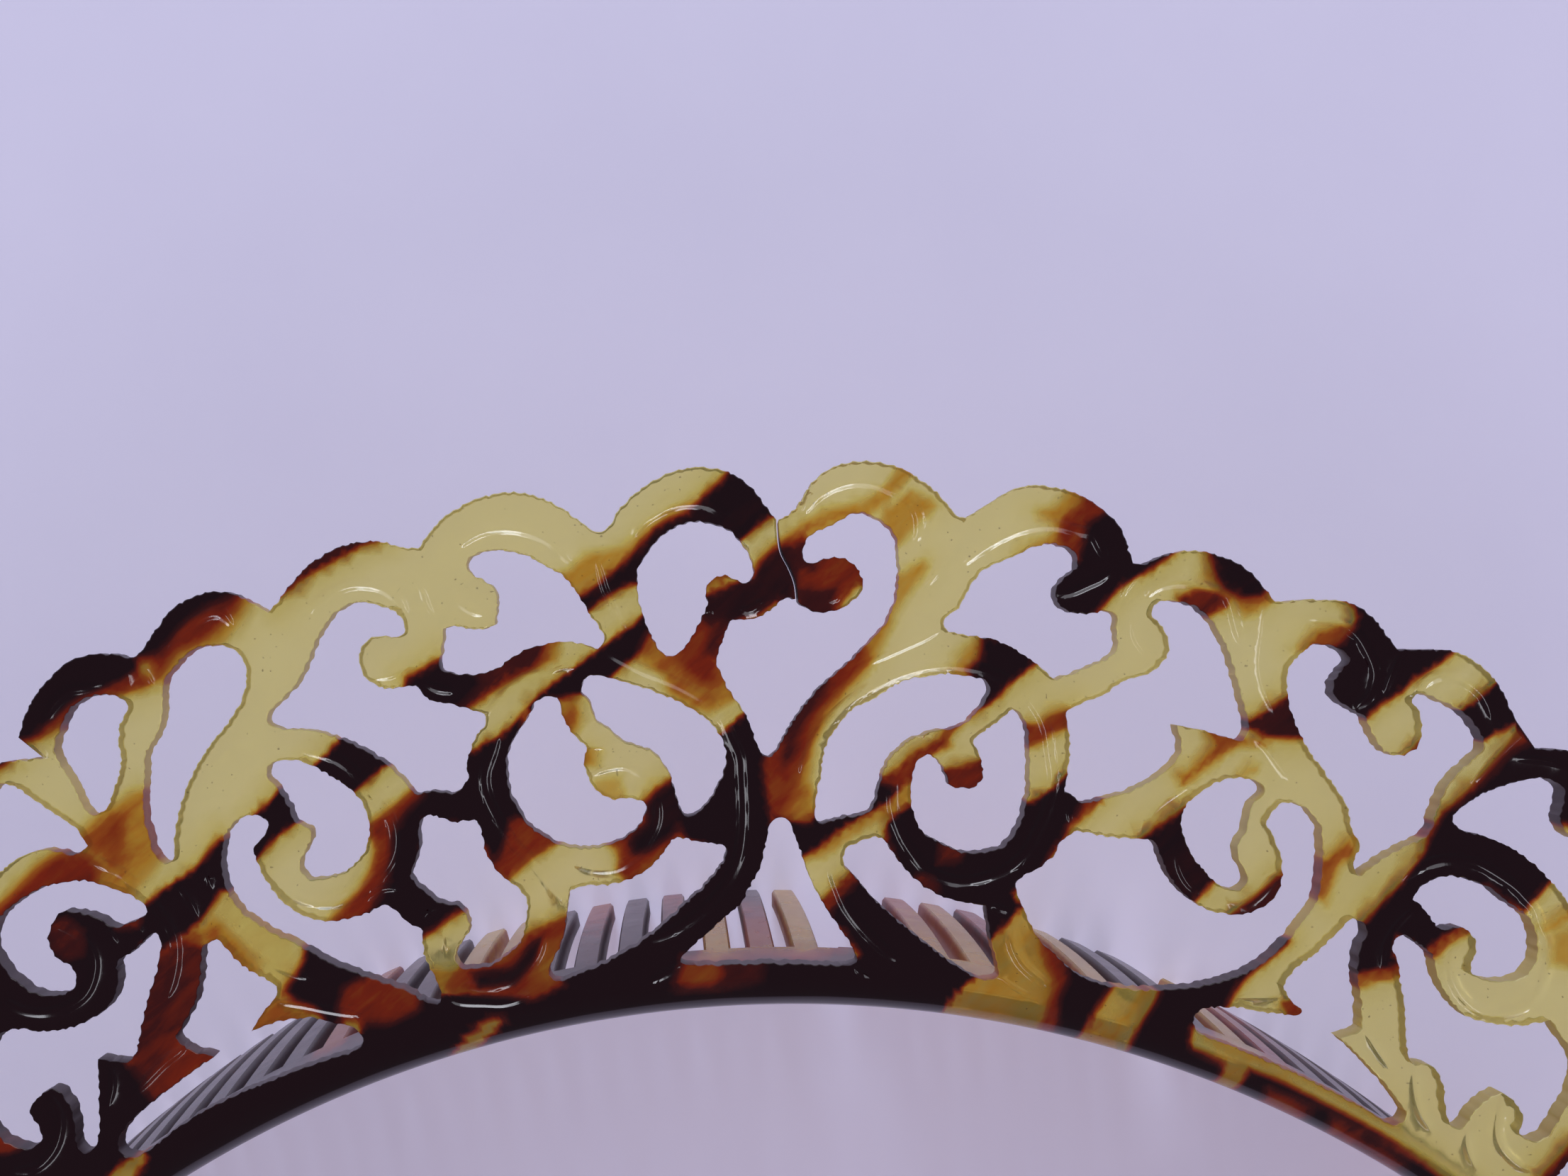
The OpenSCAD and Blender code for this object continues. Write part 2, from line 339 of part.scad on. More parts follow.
function loop(rows) = [for (i = [0 : len(rows) - 1]) each span(rows, i, true)];
function path(rows) = [for (i = [0 : len(rows) - 2]) each span(rows, i, false)];

// Lobed outline of a hidden end, from its first valley out past the end of the arch
function lobes(valley, side) =
    let (end = (arch_half + end_spare) * arch_radius / chart_radius,
         steps = end_lobes * lobe_steps)
    [for (k = [1 : steps])
        let (a = valley + (end - valley) * (1 - pow(1 - k / steps, lobe_taper)),
             swell = abs(sin(180 * k / lobe_steps)))
        polar(side * a, height_at(a) * (1 - valley_dip * (1 - swell)))];

module motif(row) {
    foot = band_width + foot_rise;
    lowest = foot + row[2] * (height_at(row[0]) - foot - end_rim);
    for (shape = row[3]) {
        polygon([for (p = loop(shape))
            let (a = row[0] + p[0] * row[1])
            polar(a, lowest + p[1] * (height_at(a) - lowest - end_rim))]);
    }
}

module split() {
    middle = path(SPLIT);
    half = [split_width / 2, 0];
    sides = concat([for (p = middle) p - half],
                   [for (i = [len(middle) - 1 : -1 : 0]) middle[i] + half]);
    polygon([for (p = sides) placed(p)]);
}

// Plane outline of the crest, before its piercings
module crest_outline() {
    left = lobes(left_valley, -1);
    right = lobes(right_valley, 1);
    end = arch_radius * [sin(arch_half + end_spare), cos(arch_half + end_spare)];
    difference() {
        polygon(concat(
            [[-end[0], end[1]]],
            [for (i = [len(left) - 1 : -1 : 0]) left[i]],
            [for (p = path(TOP)) placed(p)],
            [placed(TOP[len(TOP) - 1])],
            right,
            [end]));
        circle(r = arch_radius + bend_radius + seam, $fn = fine);
    }
}

module crest() {
    translate([0, 0, comb_depth - sheet])
        linear_extrude(sheet)
            difference() {
                crest_outline();
                for (rows = PIERCINGS) {
                    polygon([for (p = loop(rows)) placed(p)]);
                }
                for (row = END_MOTIFS) {
                    motif(row);
                }
                split();
            }
}

// How far the teeth stand out from the arch's radius at a depth below the crest's face
function lean(d) =
    let (t = d / comb_depth) 4 * tooth_bow * t * (1 - t) + tip_lean * t;

// Section through band, bend, flange and tooth, as [radius, height]
function section() =
    let (inner = arch_radius,
         top = comb_depth,
         inside = bend_radius - sheet,
         edge = inner + band_width,
         down = [for (k = [1 : bow_steps]) bend_radius + (comb_depth - bend_radius) * k / bow_steps],
         thick = function (d) sheet - tooth_thin * max(0, d - flange_depth)
                 / (comb_depth - flange_depth))
    concat(
        [[edge, top]],
        [for (a = [0 : 15 : 90]) [inner + bend_radius - bend_radius * sin(a),
                         top - bend_radius + bend_radius * cos(a)]],
        [for (d = down) [inner + lean(d) - lean(bend_radius), top - d]],
        [for (i = [bow_steps - 1 : -1 : 0]) let (d = down[i])
            [inner + thick(d) + lean(d) - lean(bend_radius), top - d]],
        [for (a = [90 : -30 : 0]) [inner + bend_radius - inside * sin(a),
                                   top - bend_radius + inside * cos(a)]],
        [[edge, top - sheet]]);

module shell() {
    half = arch_half + end_spare;
    rotate_extrude(angle = 2 * half, start = 90 - half, $fn = fine)
        polygon(section());
}

// One gap between two teeth, square at its root and flared at the tips
module gap() {
    half = gap_width / 2;
    root = comb_depth - flange_depth;
    flare = (tooth_pitch - gap_width - tip_flat) / 2;
    rotate([90, 0, 0])
        linear_extrude(3 * sheet + 4 * tooth_bow, center = true)
            polygon([[-half, root], [-half, tip_round], [-half - flare * 0.3, tip_round * 0.4],
                     [-half - flare, 0], [-half - flare, -1], [half + flare, -1],
                     [half + flare, 0], [half + flare * 0.3, tip_round * 0.4],
                     [half, tip_round], [half, root]]);
}

module gaps() {
    left = ceil((-arch_half + end_tooth_angle - first_tooth) / tooth_angle - 0.5);
    right = floor((arch_half - end_tooth_angle - first_tooth) / tooth_angle - 0.5);
    for (k = [left : right]) {
        rotate(-(first_tooth + (k + 0.5) * tooth_angle))
            translate([0, arch_radius + sheet / 2, 0])
                gap();
    }
}

// What the broken teeth have lost, out to the middle of the gap on either side
module lost_ends() {
    for (row = broken_teeth) {
        rotate(-(first_tooth + row[0] * tooth_angle))
            translate([-tooth_pitch / 2, arch_radius - 2 * sheet, -1])
                cube([tooth_pitch, 6 * sheet, comb_depth - flange_depth - row[1] + 1]);
    }
}

module teeth() {
    difference() {
        shell();
        gaps();
        lost_ends();
    }
}

// What lies past the right end of the arch
module past_end() {
    rotate(-arch_half)
        translate([0, arch_radius - chart_height, -1])
            cube([chart_height, 2 * chart_height, comb_depth + 2]);
}

// The arch's centre is moved so that the origin lies under the middle of the comb
module comb() {
    lowest = arch_radius * cos(arch_half);
    middle = (arch_radius + crest_height + lowest) / 2;
    color(amber)
        translate([0, -middle, 0])
            difference() {
                union() {
                    crest();
                    teeth();
                }
                past_end();
                mirror([1, 0, 0]) past_end();
            }
}

comb();
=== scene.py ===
"""Dressed scene of an openwork headband comb: one sheet of clouded amber plastic,
pierced with scrolls, bent at the band and cut into a curved row of teeth."""
import math
import bmesh
import bpy
import numpy as np
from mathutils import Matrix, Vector
from mathutils.geometry import delaunay_2d_cdt
from mathutils.kdtree import KDTree


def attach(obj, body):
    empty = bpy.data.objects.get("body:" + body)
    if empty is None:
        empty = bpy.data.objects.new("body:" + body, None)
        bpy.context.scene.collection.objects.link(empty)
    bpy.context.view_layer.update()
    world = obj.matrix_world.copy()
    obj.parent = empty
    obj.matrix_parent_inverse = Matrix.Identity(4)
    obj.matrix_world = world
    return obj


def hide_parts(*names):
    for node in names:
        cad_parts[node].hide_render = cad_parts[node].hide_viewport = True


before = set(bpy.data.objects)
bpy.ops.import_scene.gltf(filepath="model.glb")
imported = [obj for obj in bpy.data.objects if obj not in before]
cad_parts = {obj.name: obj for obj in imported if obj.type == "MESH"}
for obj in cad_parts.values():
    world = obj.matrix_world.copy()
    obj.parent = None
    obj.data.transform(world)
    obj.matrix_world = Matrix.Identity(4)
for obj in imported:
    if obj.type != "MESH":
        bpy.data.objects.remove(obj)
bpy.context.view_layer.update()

# Sizes of the comb in millimetres, as it was drawn
MM = 0.001
SHEET = 2.0
BEND_INSIDE = 0.4
BEND = SHEET + BEND_INSIDE
# the arch: its inner radius, and half the angle that it covers
ARCH = 82.8
ARCH_HALF = 70.0
BAND = 2.9
# depths of the tooth tips and of the gaps' roots below the crest's face
DEPTH = 42.0
FLANGE = 10.6
TOOTH_PITCH = 3.3
TOOTH_ANGLE = math.degrees(TOOTH_PITCH / (ARCH + SHEET / 2))
GAP = 1.28
# how the teeth bow, lean outwards at the tip, thin towards it and stray sideways
TOOTH_BOW = 0.8
TIP_LEAN = 1.1
TOOTH_THIN = 0.3
TOOTH_WANDER = 0.12
# angle of tooth number 0, and the least angle between an end of the arch and a gap
FIRST_TOOTH = 0.93
END_TOOTH = 1.3
# teeth that are broken off short, by their number from the middle: length of the stump
BROKEN_TEETH = {1: 0.4, 10: 18.6}
# height of the crest in the middle, and its fall at an angle from there
CREST = 38.8
CREST_FALL = 5.5
CREST_FALL_ANGLE = 28.0
# height over the band's inner edge at which the charted outlines' y begins
CHART_START = 0.4
# charted height of the valley where the split meets the top outline
SPLIT_TOP = 34.4
SPLIT_WIDTH = 0.16
# lobes of the hidden ends: the angles where they begin, their number, and how they shrink and dip
LEFT_VALLEY = 26.9
RIGHT_VALLEY = 26.3
END_LOBES = 7
LOBE_TAPER = 1.2
VALLEY_DIP = 0.12
LAST_DIP = 0.05
# openings of the hidden ends: their distance from the top outline and from the band
END_RIM = 2.6
FOOT_RISE = 0.4
END_SPARE = 1.0

# How finely the comb is built, in millimetres and in steps
EDGE_STEP = 0.2
SPLINE_STEP = 0.1
MOTIF_STEP = 0.02
# points in a lobe, and the first of them that the outline uses
LOBE_STEPS = 24
FIRST_LOBE_STEP = 3
# spacing of the points on the crest's face and back, and their least distance from its rims
FACE_GRID = 0.5
BACK_GRID = 0.9
KEEP_OFF = 0.14
# distance of the points along a carved line, and the least distance of all the points on such lines
GROOVE_STEP = 0.4
GROOVE_SPACING = 0.09
# points across a carved line, as shares of its half width
GROOVE_ROWS = (0, 0.45, 0.8, 1.0, 1.3)
# depths of the rows on the flange and on a tooth, and the columns across a tooth
FLANGE_ROWS = [4.4, 6.6]
TOOTH_ROWS = [10.9, 11.5, 13.5, 17, 20.5, 24, 27.5, 31, 34.5, 37.7, 39.7, 40.6, 41.0, 41.35, 41.65,
              41.88, 42]
COLUMNS = (-1, -0.82, -0.45, 0, 0.45, 0.82, 1)
LAST = len(COLUMNS) - 1
BEND_STEP = 15
# least height of a broken tooth's last ring, and how far beyond the bend the carving begins
STUMP_SPARE = 0.15
BEND_MARGIN = 0.02
# pairs of a point and a segment that are tested at a time
BATCH = 4000000
# decimals to which points have to agree to be one
WELD_DIGITS = 4
SHARP_ANGLE = 38

# Wear and hand work, in millimetres
RNG_SEED = 7
# the saw's bites: their length along an edge, their depth in front and at the back,
# the least share of that depth, and how far the lower bites trail the upper ones
BITE_LENGTH = (0.4, 1.1)
BITE_FRONT = 0.17
BITE_BACK = 0.24
BITE_LEAST = 0.25
BITE_TRAIL = 0.6
# rounded rims of the crest, of the teeth's edges and of their tips
RIM = 0.07
EDGE_ROUND = 0.28
TIP_ROUND = 1.3
TIP_HALF = 0.4
TIP_PINCH = 0.3
# near a sharp turn of an outline its rims narrow, at most to this share, over so many points each way
TURN_SHARE = 0.3
TURN_REACH = 3
# a carved line fades over this length, down to this share of its width
GROOVE_TAPER = 1.6
GROOVE_THIN = 0.3
# how frosted the teeth's faces are, and the sawn walls
FACE_FROST = 0.4
WALL_FROST = 1.0
# depth at which the teeth's own tones begin
TONE_START = 4.0
# the deeper amber around a cloud: how dark, and how far it reaches
HALO = 0.14
HALO_REACH = 3.0

# The photograph's view: the camera's place over the crest, and its scale
EYE_X, EYE_Y = -8.45, 27.3
EYE_DISTANCE = 135.0
PHOTO_WIDTH = 2212
PX_PER_MM = 20.0
# where the middle of the photograph lies on the crest's face
VIEW_X, VIEW_Y = -0.87, 29.375
SENSOR = 36.0

# The stage, in metres: floor, the lamps' aim, and each lamp's name, place, width and height, power,
# tint, and whether it lights only the gloss
FLOOR_HALF = 3.0
FLOOR_DROP = 0.0002
AIM = (0, 0.02, 0.04)
LAMPS = [
    ("window", (-0.10, 0.60, 0.50), (0.20, 0.20), 2.1, (0.70, 0.86, 1.0), False),
    ("wall_front", (0.05, -0.60, 0.55), (0.50, 0.50), 1.15, (0.96, 0.92, 1.0), False),
    ("wall_left", (-0.60, 0.0, 0.50), (0.40, 0.40), 0.55, (0.93, 0.93, 1.0), False),
    ("wall_right", (0.60, 0.0, 0.50), (0.40, 0.40), 0.55, (0.93, 0.93, 1.0), False),
    ("sheen_back", (0.05, 0.62, 0.45), (0.50, 0.50), 1.8, (0.92, 0.92, 1.0), True),
    ("glint_back", (-0.15, 0.52, 0.62), (0.40, 0.12), 1.3, (0.90, 0.92, 1.0), True),
    ("glint_right", (0.50, 0.10, 0.60), (0.30, 0.10), 0.5, (0.92, 0.93, 1.0), True),
    ("glint_left", (-0.50, 0.0, 0.60), (0.30, 0.10), 0.5, (0.92, 0.93, 1.0), True),
]
WORLD_TINT = (0.72, 0.78, 1.0, 1)
WORLD_STRENGTH = 0.16

# Piercings, a closed outline each, as charted (x, y) in millimetres. x is 0 in the middle of the band's
# inner edge, and y begins CHART_START over it. A third value marks a sharp corner.
PIERCINGS = [
    # heart between the two middle scrolls
    [[0.6, 32.3], [1.0, 33.0], [2.6, 33.8], [4.3, 34.6], [5.7, 34.2], [6.8, 33.2], [7.15, 31.8],
     [7.05, 29.2], [6.3, 27.0], [4.8, 25.3], [3.2, 23.8], [1.5, 22.3], [0.5, 21.1], [-0.6, 19.5],
     [-1.6, 17.75], [-2.4, 17.7], [-2.9, 18.9], [-3.6, 20.6], [-4.8, 22.4], [-5.3, 23.5], [-5.6, 24.2],
     [-5.2, 25.5], [-4.9, 26.4], [-4.6, 27.1, 1], [-2.9, 27.2], [-1.7, 27.8], [-1.1, 28.4], [-0.5, 28.7],
     [0.1, 28.3], [1.0, 27.75], [2.1, 27.6], [3.4, 28.0], [4.5, 28.9], [4.75, 29.9], [4.2, 31.0],
     [3.2, 31.6], [2.0, 31.5], [1.0, 31.15], [0.5, 31.6]],
    # drop in the left middle scroll
    [[-6.6, 34.0], [-4.9, 33.45], [-3.6, 32.1], [-3.1, 30.9], [-3.1, 30.2], [-3.7, 29.75], [-4.9, 30.35],
     [-6.0, 30.0], [-6.45, 29.2], [-6.4, 28.2], [-6.9, 27.0], [-7.7, 25.6], [-8.3, 24.85], [-9.0, 24.6],
     [-9.7, 25.2], [-10.5, 26.8], [-11.1, 28.7], [-11.1, 30.6], [-10.6, 31.7], [-9.5, 33.0], [-8.1, 33.8]],
    # left second lobe
    [[-23.2, 31.3], [-22.2, 31.85], [-21.0, 32.0], [-19.4, 31.7], [-17.9, 31.0], [-16.6, 30.2],
     [-15.6, 29.1], [-15.0, 28.1], [-14.4, 27.1], [-13.8, 26.3], [-13.55, 25.7, 1], [-14.1, 25.1, 1],
     [-15.2, 25.5], [-16.4, 25.65], [-18.0, 25.4], [-19.3, 25.0], [-20.4, 24.3], [-21.1, 23.8],
     [-22.2, 23.4], [-24.0, 23.4], [-25.0, 23.6], [-25.1, 24.2], [-24.9, 25.4], [-24.9, 26.5, 1],
     [-24.1, 26.65], [-22.7, 26.4], [-21.3, 26.7], [-21.05, 28.0], [-21.2, 29.2], [-22.0, 30.0],
     [-23.0, 30.5]],
    # left third lobe
    [[-30.8, 28.35], [-29.3, 28.0], [-28.1, 27.4], [-27.65, 26.4], [-28.2, 25.95], [-29.6, 26.05],
     [-30.6, 25.5], [-30.9, 24.4], [-30.5, 23.1], [-29.2, 22.25], [-28.0, 22.3], [-26.9, 22.45, 1],
     [-26.0, 21.5], [-24.4, 21.1], [-22.7, 20.65], [-22.1, 20.5], [-22.0, 19.8], [-22.8, 18.7],
     [-23.3, 17.0], [-23.3, 15.9], [-24.0, 15.0], [-25.5, 15.1], [-26.9, 15.0], [-28.0, 16.2],
     [-29.5, 17.4], [-31.9, 18.7], [-34.0, 19.3], [-36.8, 19.6], [-37.3, 20.3], [-36.8, 21.0],
     [-35.7, 22.0], [-34.5, 23.9], [-33.5, 26.3], [-32.2, 27.8]],
    # left long drop
    [[-41.2, 25.25], [-40.0, 25.1], [-39.2, 24.5], [-38.85, 23.3], [-39.2, 21.6], [-40.2, 19.9],
     [-41.5, 18.2], [-42.7, 16.2], [-43.6, 13.8], [-43.95, 11.9], [-43.95, 10.4], [-44.5, 9.95],
     [-45.1, 10.4], [-45.6, 11.8], [-46.0, 13.8], [-45.9, 16.0], [-45.8, 17.7], [-45.0, 19.2],
     [-44.65, 20.7], [-44.6, 22.7], [-43.6, 24.0], [-42.5, 25.0]],
    # left short drop
    [[-48.5, 21.8], [-47.8, 21.6], [-47.2, 21.0], [-47.8, 19.8], [-47.9, 18.6], [-47.75, 17.0],
     [-48.2, 15.2], [-48.7, 13.9], [-49.6, 13.4], [-50.2, 13.9], [-51.0, 15.5], [-51.8, 16.8],
     [-52.3, 17.9], [-52.0, 19.0], [-51.4, 20.5], [-50.2, 21.5]],
    # left outer lobe
    [[-50.0, 11.2, 1], [-50.9, 10.65], [-52.7, 10.95], [-54.5, 10.55], [-56.0, 9.6], [-57.1, 8.5],
     [-58.0, 8.1], [-58.6, 8.9], [-58.5, 10.6], [-58.0, 12.4], [-57.2, 14.2], [-56.2, 15.5], [-54.9, 15.1],
     [-53.0, 13.8], [-51.2, 12.6]],
    # left outer ring
    [[-50.6, 8.65], [-48.8, 8.3], [-47.0, 7.6], [-45.85, 6.7], [-46.6, 6.0], [-48.2, 5.5], [-49.2, 6.1],
     [-50.6, 6.55], [-51.9, 6.55], [-52.6, 5.6], [-52.9, 4.5], [-52.3, 3.3], [-51.2, 2.6], [-50.85, 1.8],
     [-51.4, 0.95], [-52.8, 0.65], [-54.5, 1.3], [-56.0, 2.8], [-56.7, 4.5], [-56.2, 6.0], [-54.6, 7.4],
     [-52.8, 8.3]],
    # left outer base gap
    [[-45.4, 5.0], [-44.9, 4.4], [-45.1, 2.8], [-45.7, 0.8], [-46.3, -1.5], [-46.65, -3.3],
     [-47.2, -4.1, 1], [-48.6, -3.9], [-49.3, -3.8, 1], [-49.3, -6.0], [-49.25, -8.5], [-49.5, -10.0],
     [-50.2, -10.5], [-50.7, -9.9], [-50.9, -8.0], [-51.5, -6.6], [-52.4, -5.9], [-53.5, -6.5],
     [-54.15, -7.6], [-53.6, -8.6], [-53.3, -9.5], [-54.2, -10.15], [-55.6, -9.7], [-56.9, -8.5],
     [-57.8, -6.8], [-57.7, -4.9], [-56.9, -3.2], [-56.0, -2.1], [-54.8, -1.8], [-53.2, -2.0],
     [-51.4, -1.8], [-49.6, -1.0], [-48.3, 0.1], [-47.8, 1.6], [-47.8, 3.0], [-46.6, 3.8]],
    # left inner ring
    [[-37.1, 16.9], [-36.1, 17.2], [-34.6, 16.95], [-33.0, 16.1], [-31.6, 15.2], [-30.6, 14.0],
     [-30.15, 12.5], [-30.5, 10.9], [-31.5, 9.7], [-33.0, 9.0], [-34.4, 8.95], [-35.0, 9.7], [-34.6, 10.7],
     [-34.2, 11.7], [-34.4, 12.5], [-35.4, 13.0], [-35.8, 14.1], [-36.6, 15.3], [-37.3, 16.2]],
    # left wide gap under the inner ring
    [[-38.6, 13.3], [-39.6, 12.8], [-40.3, 11.7], [-40.5, 10.0], [-40.1, 8.1], [-39.0, 6.5], [-37.0, 5.2],
     [-35.0, 4.2], [-32.7, 2.9], [-30.2, 2.0], [-27.9, 1.2], [-25.7, 0.1], [-25.1, 0.6], [-25.5, 1.8],
     [-26.3, 3.3], [-26.45, 5.2, 1], [-27.5, 5.8], [-28.9, 6.9], [-30.4, 6.3], [-32.6, 5.8], [-34.8, 6.2],
     [-36.6, 7.5], [-37.8, 9.3], [-38.35, 10.9], [-37.7, 11.8], [-37.3, 12.6], [-37.6, 13.1]],
    # left gap along the band
    [[-41.1, 4.5], [-40.7, 4.4], [-39.9, 3.4], [-38.7, 2.35], [-37.3, 1.6], [-36.7, 1.2], [-36.8, 0.5],
     [-37.7, -0.6], [-38.5, -1.95, 1], [-37.0, -1.4], [-34.3, -1.0], [-32.5, -1.4], [-31.3, -1.65],
     [-30.6, -2.5], [-31.2, -3.2], [-33.5, -4.0], [-37.0, -5.3], [-40.3, -6.7], [-43.0, -8.2],
     [-45.6, -10.1], [-46.6, -10.7], [-47.5, -10.5], [-47.8, -9.7], [-47.3, -8.8], [-46.3, -7.7],
     [-44.3, -6.1], [-42.3, -4.6], [-41.0, -3.7, 1], [-43.0, -3.0], [-43.8, -2.3, 1], [-43.0, -1.2],
     [-42.2, 0.6], [-41.9, 2.6], [-41.9, 4.0, 1]],
    # left curl gap at the band
    [[-25.8, 13.3], [-26.5, 12.9], [-26.6, 12.0], [-26.6, 10.8], [-27.15, 9.3], [-26.8, 8.6], [-25.3, 7.3],
     [-24.0, 7.1], [-23.2, 6.3], [-23.0, 5.2], [-23.8, 4.0], [-24.05, 3.2], [-23.5, 2.6], [-22.0, 2.7],
     [-20.6, 3.4], [-19.5, 4.5], [-19.1, 6.0], [-19.1, 7.3], [-19.9, 8.3], [-21.2, 9.4], [-22.0, 10.8],
     [-22.3, 12.2], [-22.6, 13.0, 1], [-24.2, 12.8]],
    # middle left ring, its inner part
    [[-16.9, 21.6], [-18.2, 21.4], [-18.8, 20.4], [-20.1, 18.4], [-20.4, 16.8], [-20.2, 15.2],
     [-19.5, 13.6], [-18.5, 12.4], [-16.8, 11.4], [-15.0, 11.1], [-13.0, 11.4], [-11.5, 12.3],
     [-10.8, 13.3], [-10.65, 14.1], [-11.8, 14.5], [-13.1, 14.4], [-14.4, 15.4], [-15.05, 17.0],
     [-14.9, 18.1], [-15.9, 19.1], [-16.6, 20.5]],
    # middle left ring, its outer part
    [[-14.3, 23.2], [-12.5, 22.8], [-10.3, 22.1], [-8.2, 21.2], [-6.3, 20.0], [-5.3, 18.6], [-5.05, 17.1],
     [-5.7, 15.2], [-6.9, 13.6], [-7.9, 13.4], [-8.35, 14.6], [-8.9, 16.3], [-10.2, 17.9], [-12.2, 18.6],
     [-13.1, 19.4], [-14.1, 20.1], [-14.6, 21.4], [-15.1, 22.1], [-14.9, 22.9]],
    # gap beside the left leg
    [[-8.6, 11.65], [-7.0, 11.45], [-5.9, 11.3], [-5.1, 11.15], [-4.95, 10.7], [-5.4, 9.8], [-6.5, 8.4],
     [-7.9, 7.1], [-9.6, 5.5], [-11.4, 4.2], [-13.3, 3.1], [-15.2, 2.3], [-16.6, 1.7], [-17.4, 2.1],
     [-17.2, 2.9], [-16.6, 4.1], [-16.2, 5.7], [-16.05, 7.3], [-15.85, 8.05, 1], [-14.9, 8.3],
     [-13.2, 8.35], [-11.6, 8.8], [-10.1, 9.8], [-9.1, 10.9]],
    # window between the two legs
    [[-1.6, 13.0], [-0.7, 13.05], [-0.3, 12.3], [0.5, 10.1], [1.3, 8.1], [2.5, 6.1], [3.6, 4.5],
     [4.15, 3.5], [4.1, 2.95], [3.4, 2.8], [2.2, 2.85], [0.6, 2.9], [-2.0, 2.95], [-5.5, 2.85],
     [-7.8, 2.85], [-8.1, 3.2], [-7.6, 3.8], [-6.0, 5.2], [-4.8, 6.3], [-3.8, 7.1], [-3.3, 8.1],
     [-2.5, 9.6], [-2.15, 11.1], [-1.85, 12.4]],
    # gap beside the right leg
    [[5.6, 11.75], [4.4, 11.35], [3.55, 10.85], [3.45, 9.9], [4.4, 8.8], [5.5, 7.5], [7.5, 5.7],
     [9.5, 4.1], [11.3, 2.75], [12.5, 2.05], [13.4, 1.8], [14.1, 1.9], [14.2, 2.5], [13.8, 4.0],
     [13.5, 5.6], [13.35, 6.9, 1], [11.6, 7.2], [9.9, 7.7], [8.4, 8.7], [7.0, 10.3], [6.3, 11.4]],
    # middle right ring, its outer part
    [[3.9, 20.7], [5.5, 21.5], [7.5, 22.7], [9.4, 23.1], [10.8, 23.25], [12.3, 23.05], [13.3, 22.8],
     [13.65, 22.2], [13.2, 21.3], [12.2, 20.2], [11.3, 19.6], [9.8, 19.35], [8.3, 18.9], [7.1, 18.0],
     [6.2, 16.8], [5.75, 15.2], [5.3, 13.9], [4.6, 13.4], [3.2, 13.25], [1.8, 12.85], [1.35, 13.3],
     [1.5, 14.8], [1.85, 16.2], [1.9, 17.2], [2.5, 18.9]],
    # middle right ring, its inner part
    [[15.4, 20.8], [14.5, 20.1], [13.4, 19.3], [12.55, 18.6], [13.0, 17.6], [13.25, 16.1], [12.5, 15.25],
     [10.9, 15.35], [10.2, 16.8], [9.4, 17.5], [8.6, 17.1], [8.2, 15.8], [8.15, 14.4], [8.7, 12.6],
     [9.9, 11.6], [11.6, 10.85], [13.3, 10.8], [14.6, 11.2], [15.6, 12.5], [16.2, 14.3], [16.4, 16.2],
     [16.35, 18.5], [16.1, 19.9]],
    # right second lobe
    [[17.3, 32.35], [18.4, 32.35], [19.5, 32.0], [19.8, 31.3], [19.5, 30.6], [18.6, 29.9], [18.25, 29.0],
     [18.6, 28.1], [19.5, 27.55], [20.8, 27.5], [21.8, 27.7], [22.6, 27.4], [22.5, 26.3], [22.65, 25.2],
     [22.0, 24.5], [20.3, 23.7], [18.9, 23.2], [18.3, 22.9, 1], [17.3, 23.8], [15.8, 24.9], [14.0, 25.8],
     [11.8, 26.15], [10.6, 26.5], [10.6, 27.3], [11.4, 27.8], [12.2, 29.2], [13.2, 30.5], [14.7, 31.3]],
    # right third lobe
    [[26.0, 28.45], [27.3, 28.3], [28.6, 27.7], [29.5, 26.7], [30.4, 25.0], [31.0, 23.0], [31.5, 21.2],
     [31.85, 19.9], [31.7, 19.0], [31.3, 18.65], [29.8, 19.05], [28.3, 19.5], [26.8, 19.7, 1],
     [27.1, 18.3], [26.8, 17.3], [25.8, 16.3], [24.2, 15.4], [22.4, 14.75], [20.9, 14.4], [20.1, 14.3],
     [19.4, 14.9], [19.0, 15.1], [19.2, 16.3], [19.4, 18.0], [19.25, 19.5], [19.1, 20.6], [20.0, 21.1],
     [21.9, 21.9], [23.2, 22.8], [25.0, 23.35], [26.1, 24.3], [26.4, 25.4], [25.8, 26.8], [25.15, 27.4],
     [25.3, 28.1]],
    # right long gap
    [[36.1, 25.1], [37.3, 25.3], [38.4, 24.95], [39.05, 24.3], [38.4, 23.6], [37.8, 22.6], [38.0, 21.6],
     [39.0, 20.9], [40.1, 20.2, 1], [40.6, 19.1], [41.4, 17.85], [42.5, 17.45], [43.7, 17.9], [44.2, 19.0],
     [44.1, 20.5], [43.5, 21.4], [44.1, 21.9], [45.4, 21.4], [47.0, 20.6], [47.9, 19.6], [48.4, 18.2],
     [47.1, 16.8], [45.9, 15.4], [45.0, 13.5], [44.6, 12.1], [43.1, 11.3], [41.3, 10.3], [40.3, 9.5],
     [39.7, 9.1], [39.35, 9.9], [39.85, 11.2], [39.3, 12.2], [39.0, 13.8], [37.8, 15.8], [36.3, 17.9],
     [35.2, 20.1], [34.75, 21.9], [34.8, 23.6]],
    # right open curl
    [[27.5, 13.9], [28.4, 14.8], [29.8, 15.6], [31.4, 15.9], [32.7, 15.6], [33.0, 14.9], [32.2, 14.2],
     [31.85, 13.0], [31.7, 12.2], [31.15, 11.3], [31.2, 10.2], [31.75, 9.1], [31.5, 8.3], [30.9, 8.1],
     [29.9, 8.45], [29.0, 9.3], [28.0, 10.5], [27.4, 11.9], [27.25, 13.0]],
    # right wide gap under the open curl
    [[15.55, 8.1], [15.9, 8.9], [17.2, 9.6], [18.2, 10.4], [18.6, 11.3], [19.3, 11.9], [20.2, 12.1],
